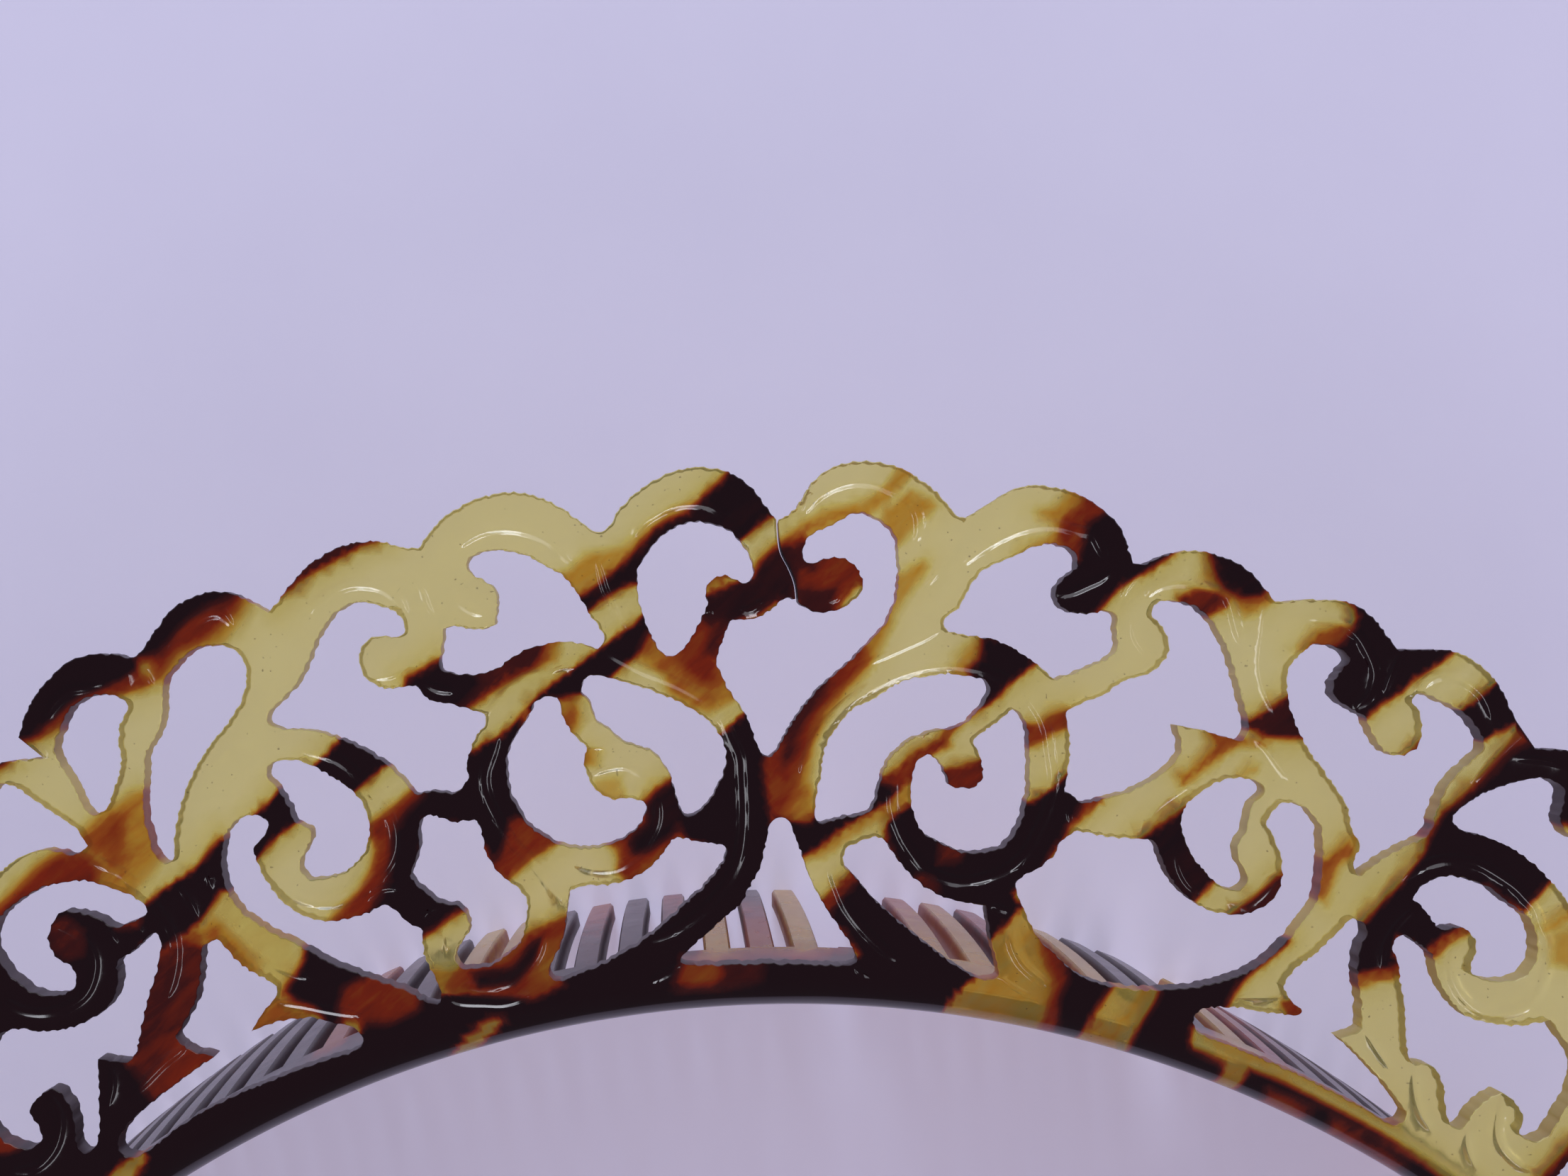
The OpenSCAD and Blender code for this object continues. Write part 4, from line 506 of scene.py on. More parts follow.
# Clouds of the plastic, as (darkness, softness of the edge in mm, outline)
CLOUDS = [
    # far left scroll and its hidden neighbour
    (0.62, 0.5, [(-58, 15.5), (-56.4, 16.2), (-55.2, 17.2), (-54.2, 18.4), (-53.2, 18.6), (-51.8, 19.5),
        (-50.3, 20.8), (-48.4, 21.5), (-47.2, 21.8), (-45.9, 22.3), (-44.6, 22.8), (-43.5, 24.4),
        (-44, 27), (-48, 26), (-51.5, 25.6), (-53.4, 22.8), (-55.8, 21), (-58, 20)]),
    (1.0, 0.35, [(-58, 16.6), (-56, 17), (-55.3, 17.6), (-54.9, 18.7), (-53.9, 18.9), (-53.2, 19.6),
        (-52.3, 20.2), (-51.6, 20.9), (-50.5, 21.8), (-49.3, 22.2), (-47.9, 22.8), (-47.2, 23.2),
        (-46.6, 23.6), (-46, 24.2), (-45.4, 25.2), (-46.5, 25.8), (-47, 25), (-48.5, 25.4), (-50.5, 25.5),
        (-51.9, 24.5), (-52.7, 23.4), (-53.6, 22.3), (-54.6, 21.3), (-55.6, 20.3), (-58, 20)]),
    # second scroll from the left
    (0.32, 0.35, [(-44.6, 22.6), (-43.6, 24.2), (-42, 24.9), (-40.3, 25.5), (-39.6, 26.4), (-38.8, 27.6),
        (-38.1, 28.6), (-39.5, 30.4), (-43, 30.4), (-46.5, 27), (-47, 25), (-46, 23)]),
    (0.62, 0.45, [(-45, 23), (-43.8, 24.8), (-42, 25.7), (-40.7, 26.7), (-39.5, 27.8), (-39, 29),
        (-39.6, 30.4), (-43, 30.4), (-47, 27)]),
    (1.0, 0.6, [(-46.6, 24.2), (-45, 24.8), (-44.3, 25.6), (-43.7, 26.5), (-42.6, 27.4), (-41.5, 28),
        (-40.4, 28.5), (-39.6, 29), (-40.4, 30.4), (-43, 30.4), (-45.6, 28), (-47, 26)]),
    # wedge along the third scroll
    (0.8, 0.35, [(-37, 28.2), (-36.2, 28.8), (-35, 29.8), (-33.5, 30.7), (-31.6, 31.7), (-30.3, 32.4),
        (-29, 32.7), (-29.5, 34), (-32, 34), (-36, 32), (-38, 29)]),
    # stripe over the left ring, and the curl inside it
    (1.0, 0.3, [(-34.7, 16.2), (-33.9, 17), (-33, 17.8), (-32.1, 18.9), (-31.5, 20), (-29, 19),
        (-28.2, 17.2), (-29.3, 16.6), (-30.1, 15.8), (-31.1, 15), (-32, 14.4), (-34, 15.4)]),
    (1.0, 0.35, [(-38.8, 12.9), (-37.9, 13.7), (-37, 14.6), (-36.3, 15.5), (-35.4, 15), (-34.6, 13.2),
        (-35.7, 12.5), (-36.7, 11.7), (-37.6, 10.7), (-38.5, 9.7), (-39.4, 10.6)]),
    # left leaf and the stripe over the left stem
    (0.36, 0.7, [(-51, 11.8), (-49.8, 13.1), (-48.4, 14.2), (-46.9, 15.1), (-45.2, 15.5), (-44.8, 12),
        (-44.8, 10.2), (-46.2, 8.4), (-47.3, 8), (-49, 8.4), (-51, 10)]),
    (0.52, 0.6, [(-50.2, 11.6), (-48.9, 13.2), (-47.6, 13.6), (-47.4, 11.4), (-48.2, 9.6), (-49.8, 9.6)]),
    (0.38, 0.6, [(-57, 6.5), (-55.4, 8.3), (-53.7, 10), (-52.4, 10.9), (-50.4, 11.1), (-48.6, 10.4),
        (-47.2, 9), (-46.6, 7.6), (-47.6, 7), (-50.8, 7.4), (-57, 4)]),
    (0.64, 0.5, [(-57, 6.2), (-55.2, 7.8), (-53.6, 9.4), (-52.4, 10.4), (-51, 10.8), (-49.8, 10.3),
        (-49.3, 9.4), (-49.5, 8), (-50.8, 7.6), (-53, 7.6), (-55, 6.4), (-57, 4)]),
    (1.0, 0.3, [(-47, 6.2), (-45.8, 7.2), (-44.4, 8.3), (-43, 9.2), (-42, 10), (-41.4, 10.9), (-40.6, 12),
        (-39.4, 10), (-39.5, 8.2), (-40.4, 7.6), (-41.2, 6.8), (-42.1, 5.9), (-43.1, 4.9), (-44.3, 3.8),
        (-45.6, 2.8), (-46.2, 4.6)]),
    # left stem, its leaf and the curls beside it
    (0.45, 0.4, [(-45.6, 3.4), (-43.4, 4.8), (-42.3, 5.5), (-41, 4.6), (-40.8, 3), (-41.6, 0.4),
        (-42.6, -2), (-45, -2), (-46, 1)]),
    (0.76, 0.35, [(-45.6, 3), (-44.2, 4), (-43, 4.5), (-41.9, 4), (-41, 3.6), (-41.6, 0.4), (-42.6, -2),
        (-42.9, -3.2), (-44.6, -5.6), (-47.6, -6.4), (-46.4, -1)]),
    (0.66, 0.4, [(-43.6, -1.8), (-42, -2.6), (-40.2, -3.5), (-42.8, -5.4), (-45, -7.6), (-47, -7.4),
        (-45.4, -5), (-44.4, -3.2)]),
    (1.0, 0.6, [(-50, -2.6), (-47.6, -3.4), (-46.8, -4.6), (-46, -6), (-45.2, -7.2), (-44.4, -8),
        (-46, -14), (-58, -14), (-58, -4.6), (-51, -4.6)]),
    (1.0, 0.4, [(-60, 4.6), (-56.4, 5.2), (-54.6, 5.4), (-53.6, 6.2), (-52.6, 7.6), (-50.5, 7.6),
        (-49, 6.5), (-47.8, 5.9), (-46.6, 5.6), (-45.5, 5.2), (-46.4, 3.8), (-46.8, 2), (-47, -0.4),
        (-49, -2.4), (-52, -3.4), (-60, -3.4)]),
    (0.76, 0.5, [(-52.8, 6), (-51.4, 6.2), (-50.2, 5.2), (-50.2, 3.4), (-51.6, 3), (-52.8, 4)]),
    (0.66, 0.4, [(-48.4, 6.4), (-46.8, 6.9), (-46, 6.4), (-46.4, 5.4), (-48, 5.2)]),
    (0.62, 0.4, [(-58, -9), (-55.6, -9.2), (-54, -9.9), (-55.6, -10.6), (-58, -10.4)]),
    # lower left limb
    (0.16, 0.4, [(-42, 5.2), (-40.6, 8), (-39.4, 8), (-35.4, 4.6), (-35.4, 1.4), (-36.9, 0.4),
        (-37.6, 1.6), (-41.8, 4.2)]),
    (0.42, 0.5, [(-42.2, 5), (-41.2, 6.2), (-40.2, 5.2), (-39, 3.9), (-38, 2.9), (-38.2, 1.6),
        (-40.8, 3)]),
    (0.42, 0.35, [(-39.2, -2.4), (-37.6, -0.2), (-36.8, 0.6), (-35, 0.4), (-33.6, -0.6), (-35.4, -1.4)]),
    (0.48, 0.4, [(-33.4, -1.4), (-31.2, 2), (-27.4, 2), (-26.8, 0.2), (-28, -1), (-31, -1.2)]),
    (1.0, 0.55, [(-34.6, 4.8), (-34.8, 3.2), (-35.4, 2), (-36.2, 1), (-35.4, 0.2), (-34, -0.3),
        (-33, -1.6), (-32, -1.4), (-32.2, -0.4), (-31.5, 0.6), (-30.8, 1.4), (-29.8, 2.2), (-31.6, 3.8)]),
    # right of the left ring, the bridge and the curl under it
    (0.62, 0.55, [(-33.8, 5.2), (-32.2, 6.7), (-31.1, 8), (-30.2, 9.4), (-29.9, 11), (-30.4, 12.6),
        (-29.4, 13.4), (-28.2, 14.3), (-27, 15.4), (-22, 16), (-22, 12.4), (-26.2, 12.8), (-26.6, 9.2),
        (-25, 7.9), (-23, 7.5), (-23.2, 6.8), (-24.4, 6), (-25.5, 5.2), (-26.7, 4.5), (-29, 4.8)]),
    (1.0, 0.6, [(-31, 5.2), (-29.8, 6.8), (-28.8, 8.6), (-28.5, 10.4), (-28.6, 12), (-27.6, 13.6),
        (-26.4, 14.8), (-25.6, 16), (-22, 16), (-22, 12.4), (-26.2, 13), (-26.6, 9.2), (-25, 7.9),
        (-23, 7.5), (-23.3, 6.9), (-24.5, 6.2), (-25.5, 5.4), (-26.8, 4.7), (-28.4, 4.8)]),
    # second ring, left side
    (1.0, 0.35, [(-23.6, 17.5), (-22.3, 18.3), (-21.2, 18.8), (-20.3, 19.5), (-19.6, 20.2), (-18.7, 21.3),
        (-18.1, 21.9), (-17.3, 22.6), (-16.3, 23.3), (-15.3, 24), (-14.4, 24.7), (-13.6, 25.3),
        (-12.9, 25.8), (-12.3, 26.3), (-11.4, 26.9), (-10.6, 27.8), (-9.6, 26), (-10.8, 24.8),
        (-11.8, 24.2), (-12.5, 23.6), (-13.1, 23), (-14.6, 22.8), (-14.8, 22), (-15.6, 21.7),
        (-16.9, 21.3), (-17.4, 21.6), (-19, 20.4), (-19.8, 18.4), (-19.6, 15.4), (-18, 13.2),
        (-17.4, 12.2), (-18.4, 11.3), (-19.4, 10.4), (-20.6, 9.4), (-21.4, 9.6), (-22.8, 13),
        (-23.6, 15)]),
    (0.62, 0.35, [(-20.2, 13.4), (-18.4, 13), (-16.5, 11.5), (-17.4, 10.9), (-18.4, 10.3), (-19.4, 9.5),
        (-20.4, 8.6), (-21.6, 9.6), (-20.8, 11)]),
    (0.8, 0.5, [(-27.8, 22.8), (-25.4, 24.4), (-22, 24.4), (-17.3, 26), (-17.2, 24.4), (-18.2, 23.8),
        (-19.2, 23.3), (-20.3, 22.7), (-21.3, 22.1), (-22.3, 21.4), (-23.4, 20.6), (-26, 20.6)]),
    (1.0, 0.6, [(-27.8, 22.8), (-25.2, 24), (-23, 23.8), (-22.4, 22.6), (-23.8, 21.2), (-26, 20.6)]),
    (0.38, 0.4, [(-18.2, 23.9), (-17.6, 26), (-16.4, 26), (-16.8, 24.7)]),
    # stripe through the scroll left of the middle
    (0.32, 0.5, [(-17.4, 30.4), (-16, 30.8), (-14.8, 31.9), (-13.5, 32.1), (-12, 32.5), (-10.6, 33.8),
        (-8.6, 35.2), (-7, 36), (-5, 37.8), (-4, 36), (-8, 33), (-11, 30), (-15.2, 27.6), (-16.4, 28.8)]),
    (0.95, 0.35, [(-15.4, 28.7), (-14.2, 29.4), (-13, 30.4), (-12, 31.3), (-11, 32.4), (-10, 33.5),
        (-9, 34.2), (-7.8, 34.7), (-6.9, 35.4), (-6.3, 36.1), (-5.3, 36.9), (-4.5, 38), (-2, 37.4),
        (-0.6, 34.7), (-2.1, 34.2), (-3, 33.4), (-4.2, 32.5), (-5, 33), (-8, 32.6), (-10.4, 31.2),
        (-10.6, 29.8), (-12.1, 29.4), (-13.5, 28.6), (-15, 27.4), (-15.7, 28)]),
    # joint in the middle and its legs
    (0.42, 0.5, [(-3, 31), (-1.8, 32.6), (0.2, 33.9), (2, 34.9), (4.4, 35.5), (5.2, 34.6), (3, 34),
        (1.1, 33), (0.6, 31.4), (-1.5, 30)]),
    (0.42, 0.55, [(-10.4, 26.2), (-8.2, 25), (-7, 27.4), (-5, 27.2), (-5.6, 24.1), (-4.9, 23),
        (-3.9, 21.6), (-5.2, 20.9), (-6.2, 20.4), (-7.5, 20.8), (-9.2, 22), (-9.4, 23.2), (-11.3, 24.3)]),
    (0.62, 0.45, [(-8.6, 24.2), (-7, 27.6), (-4.6, 27.4), (-5.6, 24.2), (-5.2, 22.8), (-6.4, 22.4)]),
    (0.76, 0.35, [(-6.4, 24.8), (-6, 27.6), (-4.4, 27.4), (-5.6, 24.4)]),
    (0.92, 0.45, [(-6.6, 28.9), (-5.4, 29.4), (-4.3, 29.9), (-3.1, 30.2), (-2.8, 31), (-1.6, 32),
        (-0.8, 32.4), (0.9, 32.4), (0.4, 31), (0.4, 28.4), (-1.4, 28.3), (-2.6, 27.4), (-4.6, 26.9),
        (-5.6, 27.2), (-6.2, 26.8), (-7, 27.6)]),
    (0.5, 0.3, [(-6.9, 29), (-6.7, 30.4), (-4.8, 30.8), (-4.4, 30.2), (-5.4, 29.6)]),
    (0.62, 0.5, [(0, 31.4), (1.3, 31.7), (3, 32.2), (4.9, 31.4), (5.2, 29.8), (4.6, 28.6), (3.5, 27.4),
        (2, 27), (0.6, 27.4), (0, 29)]),
    (0.82, 0.5, [(-0.2, 29.4), (2.8, 29.2), (2.6, 27), (0.4, 27.2)]),
    (0.82, 0.4, [(-0.2, 30.6), (1.2, 30.8), (1.8, 32), (0.4, 33), (-0.2, 32.6)]),
    (0.1, 0.3, [(2.9, 27.6), (4.3, 29.5), (5.3, 29.4), (4.2, 27)]),
    # left limb of the middle, its leg and the band
    (1.0, 0.3, [(-5.8, 18.7), (-4.6, 19.7), (-3.8, 20.5), (-3, 20.9), (-1.7, 17.6), (-1.4, 13.5),
        (-2, 10.5), (-3.2, 7), (-5.1, 5), (-7.6, 3), (-7, 0.6), (-10, -3), (-30, -8), (-58, -22),
        (-58, -13), (-47.6, -10.4), (-46.6, -9.8), (-38, -5.4), (-31, -2.6), (-30, 0.4), (-26, 0.7),
        (-17.6, 1), (-16.8, 1.6), (-14.5, 3), (-10, 5.4), (-7, 8.4), (-5.2, 11), (-7.6, 11.6),
        (-8.8, 12.2), (-9, 13.4), (-8.4, 14.8), (-6.4, 14.9), (-5.4, 16.6)]),
    (0.62, 0.6, [(-32.1, 1.2), (-30.6, 1.9), (-28.4, 1.9), (-26.4, 0.9), (-26.6, -0.4), (-28.6, -1.4),
        (-31, -1.5), (-32.4, -0.5)]),
    (0.62, 0.5, [(-13.8, 11.6), (-12.6, 10.6), (-12.8, 9.4), (-11.8, 8.2), (-9.2, 10.6), (-8, 12),
        (-8.6, 14), (-8.2, 16.4), (-9.9, 15.3), (-11, 14.4), (-11, 13), (-12.4, 12)]),
    (0.95, 0.45, [(-12, 11.6), (-11.4, 10.6), (-10.4, 10.8), (-8.6, 12), (-8, 13.6), (-8, 16.2),
        (-9.8, 15.1), (-10.6, 14), (-10.6, 12.8)]),
    (0.42, 0.4, [(-17, 21.6), (-15.4, 21.8), (-15.2, 20.2), (-15.4, 19), (-16.4, 19.2)]),
    (0.38, 0.4, [(-15.6, 18.3), (-14, 18), (-14, 16.8), (-15.4, 16.6)]),
    (0.26, 0.4, [(-14.4, 15.8), (-12.4, 16.2), (-12, 14.4), (-14, 14.2)]),
    # foot under the second ring
    (0.4, 0.4, [(-26.6, 2.6), (-24.4, 2.5), (-23.4, 2.9), (-22.4, 1.4), (-25.4, 0.8)]),
    (0.58, 0.4, [(-24, 2.2), (-23, 3.2), (-21, 3.2), (-19.8, 4.2), (-19.1, 5.1), (-17.8, 5.7), (-16, 6.5),
        (-15.6, 4.8), (-17.2, 2.4), (-16.4, 1.4), (-18.4, 0.3), (-24.8, 0.9)]),
    (0.95, 0.4, [(-22.8, 2.2), (-20, 2.7), (-18.8, 4.2), (-18, 4.7), (-18.4, 3), (-19.8, 1.4),
        (-22.4, 1.1)]),
    (0.45, 0.4, [(-17.8, 4.4), (-16.6, 4.6), (-17, 2.2), (-17.4, 1.4), (-18.6, 2)]),
    # right limb of the middle
    (0.38, 0.5, [(-2.2, 17), (-1, 20), (2.4, 24), (5.8, 27.6), (7, 30), (6.8, 26.8), (5.4, 23.8),
        (3.9, 22.2), (2.4, 20.4), (1.5, 18.3), (1.1, 16), (1.3, 13.6), (-1.6, 12.4)]),
    (0.62, 0.5, [(-2.4, 17.2), (-0.8, 20.4), (2, 23.6), (4.6, 26), (5, 24.4), (3.7, 22.6), (1.9, 20.6),
        (0.9, 18.5), (0.3, 16), (-0.4, 13), (-1.6, 12.4)]),
    (0.8, 0.5, [(-1, 19.4), (1.4, 22.6), (2.4, 23.2), (2.2, 22), (0.9, 20.2), (0, 18.2), (-0.9, 16)]),
    # brown patches on the scroll right of the middle
    (0.34, 0.3, [(4.4, 35.2), (5.4, 36), (6.4, 36.8), (7.2, 38), (8.6, 37.6), (7.6, 36.6), (6.8, 35.7),
        (6, 35), (5, 34.4)]),
    (0.36, 0.4, [(5.9, 34.6), (7, 35.4), (8, 36.5), (8.9, 36), (10.2, 35.3), (8.9, 34.2), (8, 33.1),
        (7, 32.1), (6.2, 33.5)]),
    (0.32, 0.3, [(6.5, 27.4), (7.8, 28.7), (8.5, 29.6), (9.3, 30.5), (9.4, 31.6), (8.4, 31.1), (7.5, 30.6),
        (6.6, 30)]),
    # third ring, its curl and the bridge
    (0.4, 0.6, [(-1.4, 12.6), (0, 15), (1.2, 15), (1.6, 12.9), (0.6, 12)]),
    (0.34, 0.3, [(0.6, 9.9), (2.5, 10.6), (3.6, 11.5), (5, 12.4), (6.3, 13.2), (7.6, 13.9), (8.6, 14.8),
        (8.4, 15.8), (7, 14.8), (6, 14), (4.6, 13.1), (3, 12.1), (1.6, 11.1), (0, 10.5)]),
    (1.0, 0.3, [(-1.4, 10.2), (0.4, 10.5), (1.6, 11.1), (2.8, 12.1), (4.2, 13), (5.3, 13.6), (6.4, 14.2),
        (7.2, 15), (8, 15.8), (8.7, 16.4), (8.4, 17.4), (7.6, 16.8), (6.8, 16.2), (5.4, 15.8), (5, 14.6),
        (4.8, 14), (1.8, 14), (1, 12.7), (0, 12.8), (-1.4, 13.2)]),
    (0.64, 0.35, [(5.4, 15.7), (6.6, 16.3), (7.4, 17.1), (8.4, 18), (9.6, 18.6), (10.6, 19.2), (11, 18.3),
        (9.8, 17.6), (8.8, 17.2), (8.4, 15.8), (7, 15.2)]),
    (0.5, 0.35, [(13.3, 21.8), (14.4, 22.6), (14.6, 21.8), (13, 20.6), (12.2, 20), (11.6, 19.5),
        (10.7, 18.6), (10.1, 19.2), (11.4, 20.1), (12.6, 21.2)]),
    (0.7, 0.35, [(10, 16.5), (11.4, 16.9), (12.6, 17.2), (13.4, 17.5), (13.6, 15.6), (12, 14.8),
        (10.4, 15.4)]),
    (0.36, 0.5, [(11.9, 25.2), (13.4, 26.4), (13.4, 23.4), (12.6, 22.8), (10.8, 23.2)]),
    (0.98, 0.4, [(13.1, 26.2), (14.5, 25.8), (16.1, 25), (17, 24.1), (15.9, 23.2), (14.9, 22.4),
        (13.9, 21.5), (13.2, 21), (13, 22.2), (12.4, 22.9), (12.2, 23.6), (13, 24.4)]),
    (0.6, 0.45, [(15.7, 19.9), (17.2, 19.9), (18, 20.7), (19.4, 20.9), (19.4, 19.5), (18.2, 19),
        (17.4, 18.4), (15.9, 17.9)]),
    (1.0, 0.35, [(6.4, 12.9), (7.3, 13.6), (8.6, 14.4), (9, 12.8), (9.8, 12.2), (11.5, 11.6), (13.5, 11.7),
        (14.9, 12.8), (15.4, 14), (16.9, 14.5), (18.2, 15.3), (19.2, 16.4), (20.2, 15.4), (21.6, 14.6),
        (20.5, 13.5), (19.5, 12.5), (18.4, 11), (17.4, 9.6), (15.6, 8.2), (15.4, 7.6), (16.2, 6.9),
        (15.2, 6), (14.4, 5), (13.6, 4.1), (13, 5.5), (13.2, 6.6), (11, 7.2), (9.4, 7.5), (7.6, 9.2),
        (6.2, 11.6)]),
    (0.72, 0.4, [(9.8, 9.8), (11.6, 10), (12.1, 11), (11.4, 11.6), (10, 11.4)]),
    (0.74, 0.4, [(8, 8.8), (9.6, 7.5), (10.4, 8), (9.8, 9), (8.6, 9.4)]),
    (0.6, 0.35, [(18.9, 12.4), (19.8, 13.6), (20.4, 14.8), (21.8, 14.8), (20.5, 13.3), (19.2, 12)]),
    # right leg of the middle, the stem's foot and the band
    (1.0, 0.35, [(1.4, 7), (2.7, 8.1), (3.6, 9), (4.3, 10), (5.4, 8.4), (7.8, 6.2), (10.6, 3.6),
        (12.8, 1.9), (11.7, 1.1), (10.8, 0), (9.8, -3), (-12, -5), (-30, -8), (-30, -3), (-8, 0.4),
        (-7.4, 3.4), (4.4, 3.4), (3, 5.4)]),
    (0.66, 0.35, [(1.4, 7), (2.7, 8.1), (3.6, 9), (4.3, 10), (4.8, 9), (3.4, 7.6), (2.2, 6.2)]),
    (0.3, 0.35, [(9.8, -3), (10.9, 0), (11.8, 1.1), (12.8, 1.9), (13.4, 2.6), (13.6, 4.2), (15.4, 6.2),
        (16.3, 7.1), (17.2, 5.6), (18.4, 3), (18.6, 1.6), (17.5, -0.2), (16.6, -3)]),
    (0.28, 0.35, [(13.4, 3.4), (13.7, 4.4), (15, 5.6), (16.2, 6.8), (16.6, 5), (17.2, 3), (17.4, 1.4),
        (15.6, 0.6), (14.2, 1.2)]),
    (0.64, 0.5, [(17, 5.4), (18.4, 4.4), (20, 2.4), (20, -3.6), (16.8, -3), (17.6, 0), (18.2, 1.6),
        (17.4, 3.4)]),
    (1.0, 0.5, [(19, 4.2), (19.2, 1.8), (18.6, 0.4), (18.4, -3.4), (20, -2.8), (20.8, -1), (21.8, 0.4),
        (22.8, 1.8), (20.8, 2.6)]),
    (0.34, 0.35, [(20.2, -3.6), (20.7, -1.6), (21.7, -0.2), (22.9, 1.8), (25.6, 1.8), (24.9, 0.6),
        (24, -0.8), (23, -2.6), (22.8, -4.4)]),
    (0.14, 0.3, [(22, 0.3), (22.8, 1.2), (24.4, 1.2), (23.4, -0.4), (22.2, -1.6), (21.4, -0.8)]),
    (1.0, 0.5, [(23.4, -4.6), (23.7, -2.4), (24.5, -0.9), (25.3, 0.4), (25.9, 1.8), (28, 2.2), (30, 2.8),
        (31.6, 3.4), (33, 4.2), (34.8, 4.9), (34.8, 4.3), (34.2, 3.8), (33.1, 2.9), (32, 2), (31.1, 1),
        (30.6, 0), (30, -0.8), (28, -1.6), (27.8, -3), (30, -4), (34, -5.2), (37, -6.8), (40, -8.4),
        (42, -9.6), (44, -11), (60, -22), (56, -26), (40, -16)]),
    (0.8, 0.7, [(-9, 0.9), (-8, 3.4), (-2, 3.4), (-2.4, 1.6), (-5, 0.9)]),
    (0.48, 0.6, [(-8.6, 1.3), (-7.8, 3.2), (-5.6, 3.2), (-5.2, 2), (-6, 1.3)]),
    (0.26, 0.3, [(-23.4, -2.4), (-22.5, -1.7), (-21.7, -0.9), (-20.6, -0.7), (-21, -1.8), (-21.9, -2.6),
        (-23, -4.4), (-24.6, -4)]),
    (0.2, 0.35, [(-48.4, -12), (-47.3, -11), (-46, -10.3), (-45.7, -11), (-46.6, -12), (-47.6, -14.4),
        (-50, -14.4)]),
    # upper strip and patches of the band on the right
    (0.27, 0.3, [(28.4, -1), (28.6, -2.6), (30, -3.5), (34, -4.7), (37, -6.2), (40, -7.9), (42.6, -9.3),
        (43, -7.6), (38, -6), (33, -3.2)]),
    (0.3, 0.35, [(30.4, -3.7), (32, -4.2), (31.6, -5.6), (31.4, -7.2), (29.4, -6.4), (30.1, -5)]),
    (0.7, 0.6, [(39.6, -9.4), (41.6, -10), (43.4, -11.4), (43.4, -14), (40, -12)]),
    (0.56, 0.8, [(33.4, -6), (36.4, -7.4), (36, -9), (33, -7.6)]),
    (0.56, 0.8, [(38, -8.2), (40, -9.2), (39.6, -10.6), (37.6, -9.6)]),
    # scrolls right of the third ring
    (0.34, 0.4, [(16.9, 34.8), (18.4, 35.2), (19, 36), (19.2, 37.4), (21.4, 36.4), (21, 34), (19.4, 32),
        (17.6, 31.6), (15.4, 31.6), (16.8, 32.7), (18.4, 33.5)]),
    (0.64, 0.4, [(18.8, 34.4), (20, 35.2), (20.6, 36.6), (23, 35), (24.6, 32), (22, 30), (20, 31.4),
        (18.8, 32), (18.6, 33.2)]),
    (1.0, 0.45, [(20.6, 34), (21.6, 34.5), (22.4, 35), (24, 33), (24.2, 31.4), (26.4, 32.9), (27.6, 32.5),
        (26.2, 31.5), (25, 30.6), (24.1, 30.1), (23.2, 29.6), (22.3, 28.8), (21.3, 27.6), (20, 27),
        (17.8, 27.8), (17.2, 29.6), (18.8, 31), (19.8, 31.4), (20.2, 32.2)]),
    (0.36, 0.35, [(28, 32.9), (28.8, 31.4), (28.7, 30), (30, 29), (31, 28.3), (31.6, 27.2), (33, 27.8),
        (34, 28.6), (33, 30.6), (30.4, 32.6)]),
    (0.95, 0.4, [(29, 32.7), (29.4, 31.2), (29.6, 30.2), (30.3, 29.3), (31.4, 28.7), (32.8, 28.8),
        (33.4, 29.6), (32, 31.6)]),
    (0.7, 0.4, [(26.8, 28.8), (28.2, 29.4), (29.6, 29.2), (30.6, 28.7), (30.6, 28), (29.5, 27.5),
        (28.4, 27), (27.4, 27.4)]),
    (0.5, 0.4, [(27.2, 15.2), (29, 16.5), (30.4, 17.6), (31.6, 18.2), (33.4, 18.1), (33, 18.6), (31.4, 19),
        (30.2, 19.6), (28.8, 19.4), (29.4, 18.2), (28.2, 17), (26.8, 16)]),
    (0.34, 0.3, [(30.9, 16.2), (31.8, 16.6), (32.6, 17.1), (32.6, 16.3), (31.8, 15.9)]),
    (0.85, 0.4, [(31.4, 19.8), (33.2, 20.8), (34.9, 22), (35.2, 20.8), (36.2, 19.6), (36, 18.7),
        (34.2, 18.7), (33.2, 18.8), (32.2, 19.2)]),
    (0.95, 0.4, [(23.8, 11.4), (25.4, 12.5), (26.5, 13.3), (28, 14.4), (28.2, 12.6), (28.2, 10.8),
        (29.2, 9.6), (29.8, 9), (29.1, 8.2), (28.3, 7.3), (27, 6.6), (25, 9)]),
    (0.8, 0.3, [(30.4, 6.2), (31.4, 6.9), (32.4, 7.6), (33.3, 8.4), (34.2, 9.4), (34.8, 8.4), (33.4, 6.6),
        (31.8, 5.8)]),
    (0.46, 0.5, [(36.2, 9.6), (38, 10.9), (39.6, 12.2), (39.4, 10.4), (38.4, 9.7), (38, 8.6), (37.4, 7),
        (36.4, 7.6)]),
    (1.0, 0.4, [(38.4, 28.6), (39.3, 28.1), (39.6, 27.2), (39, 26.4), (37.8, 26.2), (37, 25.2), (38, 24.6),
        (36.8, 24), (36.4, 22), (37.6, 20.6), (40, 19.9), (40.9, 20.8), (41.8, 21.4), (42.9, 22.1),
        (43.7, 22.9), (44.8, 23.6), (45.7, 24.2), (46.8, 25.2), (45.2, 26), (42.6, 25.8), (41, 28)]),
    (0.5, 0.45, [(35.4, 25), (36.8, 26.4), (38.4, 26.9), (39.4, 26.6), (38.6, 25.6), (37.8, 25),
        (36.6, 24.8)]),
    (0.64, 0.25, [(42.2, 17.2), (43.2, 17.9), (43.6, 18.4), (44.4, 19.1), (44.8, 18), (43.4, 16.8)]),
